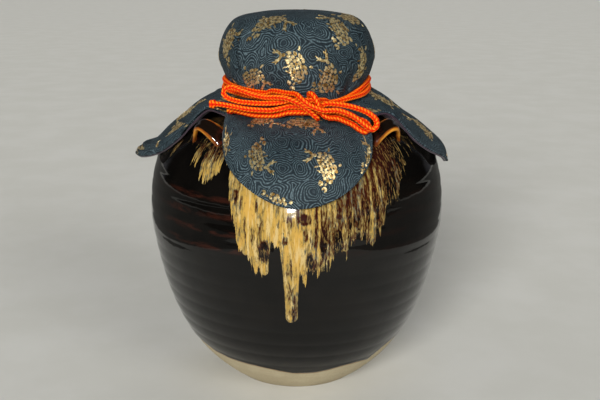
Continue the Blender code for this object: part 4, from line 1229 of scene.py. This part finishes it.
# The floor's reach and depth under the foot, and the cards' height, reach and inner edges in front of the jar
# and beside it, in metres
FLOOR_REACH = 40
FLOOR_DEPTH = -0.0002
CARD_HEIGHT = 0.003
CARD_END = 5.0
CARD_FRONT = -0.55
CARD_SIDE = 0.37


def stage_plane(name, corners, faces, material):
    """A flat piece of the set, which isn't part of the jar."""
    mesh = bpy.data.meshes.new(name)
    mesh.from_pydata(corners, [], faces)
    mesh.materials.append(material)
    made = bpy.data.objects.new(name, mesh)
    bpy.context.scene.collection.objects.link(made)
    return made


def make_floor():
    """A plain pale floor, and cards on it that only the glaze mirrors, as it mirrors the photograph's room: dark
    in front of the jar and dim beside it."""
    material, add = new_material("pale_floor")
    mottle = add("TexNoise", add("TexCoord", output="Object"), grain(111.1), 4.0, 0.6)
    finish(material, {"Base Color": coat(add, "#C6C5BD", "#CBCAC3", mottle, 0.35, 0.7), "Roughness": 0.9})
    corners = [(x * FLOOR_REACH, y * FLOOR_REACH, FLOOR_DEPTH) for x, y in ((-1, -1), (1, -1), (1, 1), (-1, 1))]
    stage_plane("floor", corners, [(0, 1, 2, 3)], material)
    corners = [(x, y, CARD_HEIGHT) for y in (-CARD_END, CARD_FRONT, CARD_END)
               for x in (-CARD_END, -CARD_SIDE, CARD_SIDE, CARD_END)]
    for name, colour, faces in (("card_front", "#181715", [(0, 3, 7, 4)]),
                                ("card_sides", "#6C6B66", [(4, 5, 9, 8), (6, 7, 11, 10)])):
        material = finish(new_material(name)[0], {"Base Color": colour, "Roughness": 1.0})
        card = stage_plane(name, corners, faces, material)
        card.visible_camera = card.visible_diffuse = card.visible_shadow = card.visible_transmission = False


def lamp(name, kind, place, size, power):
    """A soft sun, whose size is an angle, or a round lamp, which is only mirrored."""
    data = bpy.data.lights.new(name, kind)
    if kind == "SUN":
        data.angle = size
    else:
        data.shape, data.size = "DISK", size
    data.energy = power
    made = bpy.data.objects.new(name, data)
    made.location = place
    made.rotation_euler = (Vector((0, 0, 0.2)) - Vector(place)).to_track_quat("-Z", "Y").to_euler()
    made.visible_glossy = kind == "AREA"
    made.visible_diffuse = kind == "SUN"
    made.visible_camera = False
    bpy.context.scene.collection.objects.link(made)


def make_light():
    """Three soft suns, a lamp for the glint on the shoulder, and a world that the glaze mirrors as a dark room
    in front of the jar with pale walls beside and behind it."""
    lamp("key", "SUN", (-1.0, -3.1, 1.5), 0.4, 3.7)
    lamp("fill", "SUN", (2.1, -2.3, 1.5), 0.52, 1.2)
    lamp("back", "SUN", (0.4, 2.4, 1.6), 0.7, 0.5)
    lamp("front", "AREA", (-0.091, -1.32, 0.296), 0.085, 9.0)
    world = bpy.data.worlds.new("studio")
    world.use_nodes = True
    add = partial(add_node, world.node_tree)
    towards_back = add("SeparateXYZ", add("TexCoord", output="Generated"), output="Y")
    mirrored = coat(add, "#0B0A0A", "#6C6C70", towards_back, 0.52, 0.7)
    shown = add("Mix", add("LightPath", output="Is Glossy Ray"), "#7C7C7C", mirrored, **COLOUR)
    shown = add("Mix", add("LightPath", output="Is Camera Ray"), shown, "#FFFFFF", **COLOUR)
    background = world.node_tree.nodes["Background"]
    feed(world.node_tree, background.inputs["Color"], shown)
    background.inputs["Strength"].default_value = 1.0
    bpy.context.scene.world = world


def main():
    """Builds the scene."""
    bpy.context.scene.view_settings.view_transform = "Standard"
    make_camera()
    make_floor()
    make_light()
    make_cord(cord_material())
    make_jar(glaze_material())
    ear = ear_material()
    for name, azimuth in EAR_AZIMUTHS.items():
        make_ear(name, math.radians(azimuth), ear)
    make_cover()
    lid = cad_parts["mouth_lid"]
    lid.data.materials.clear()
    lid.data.materials.append(wood_material())


main()
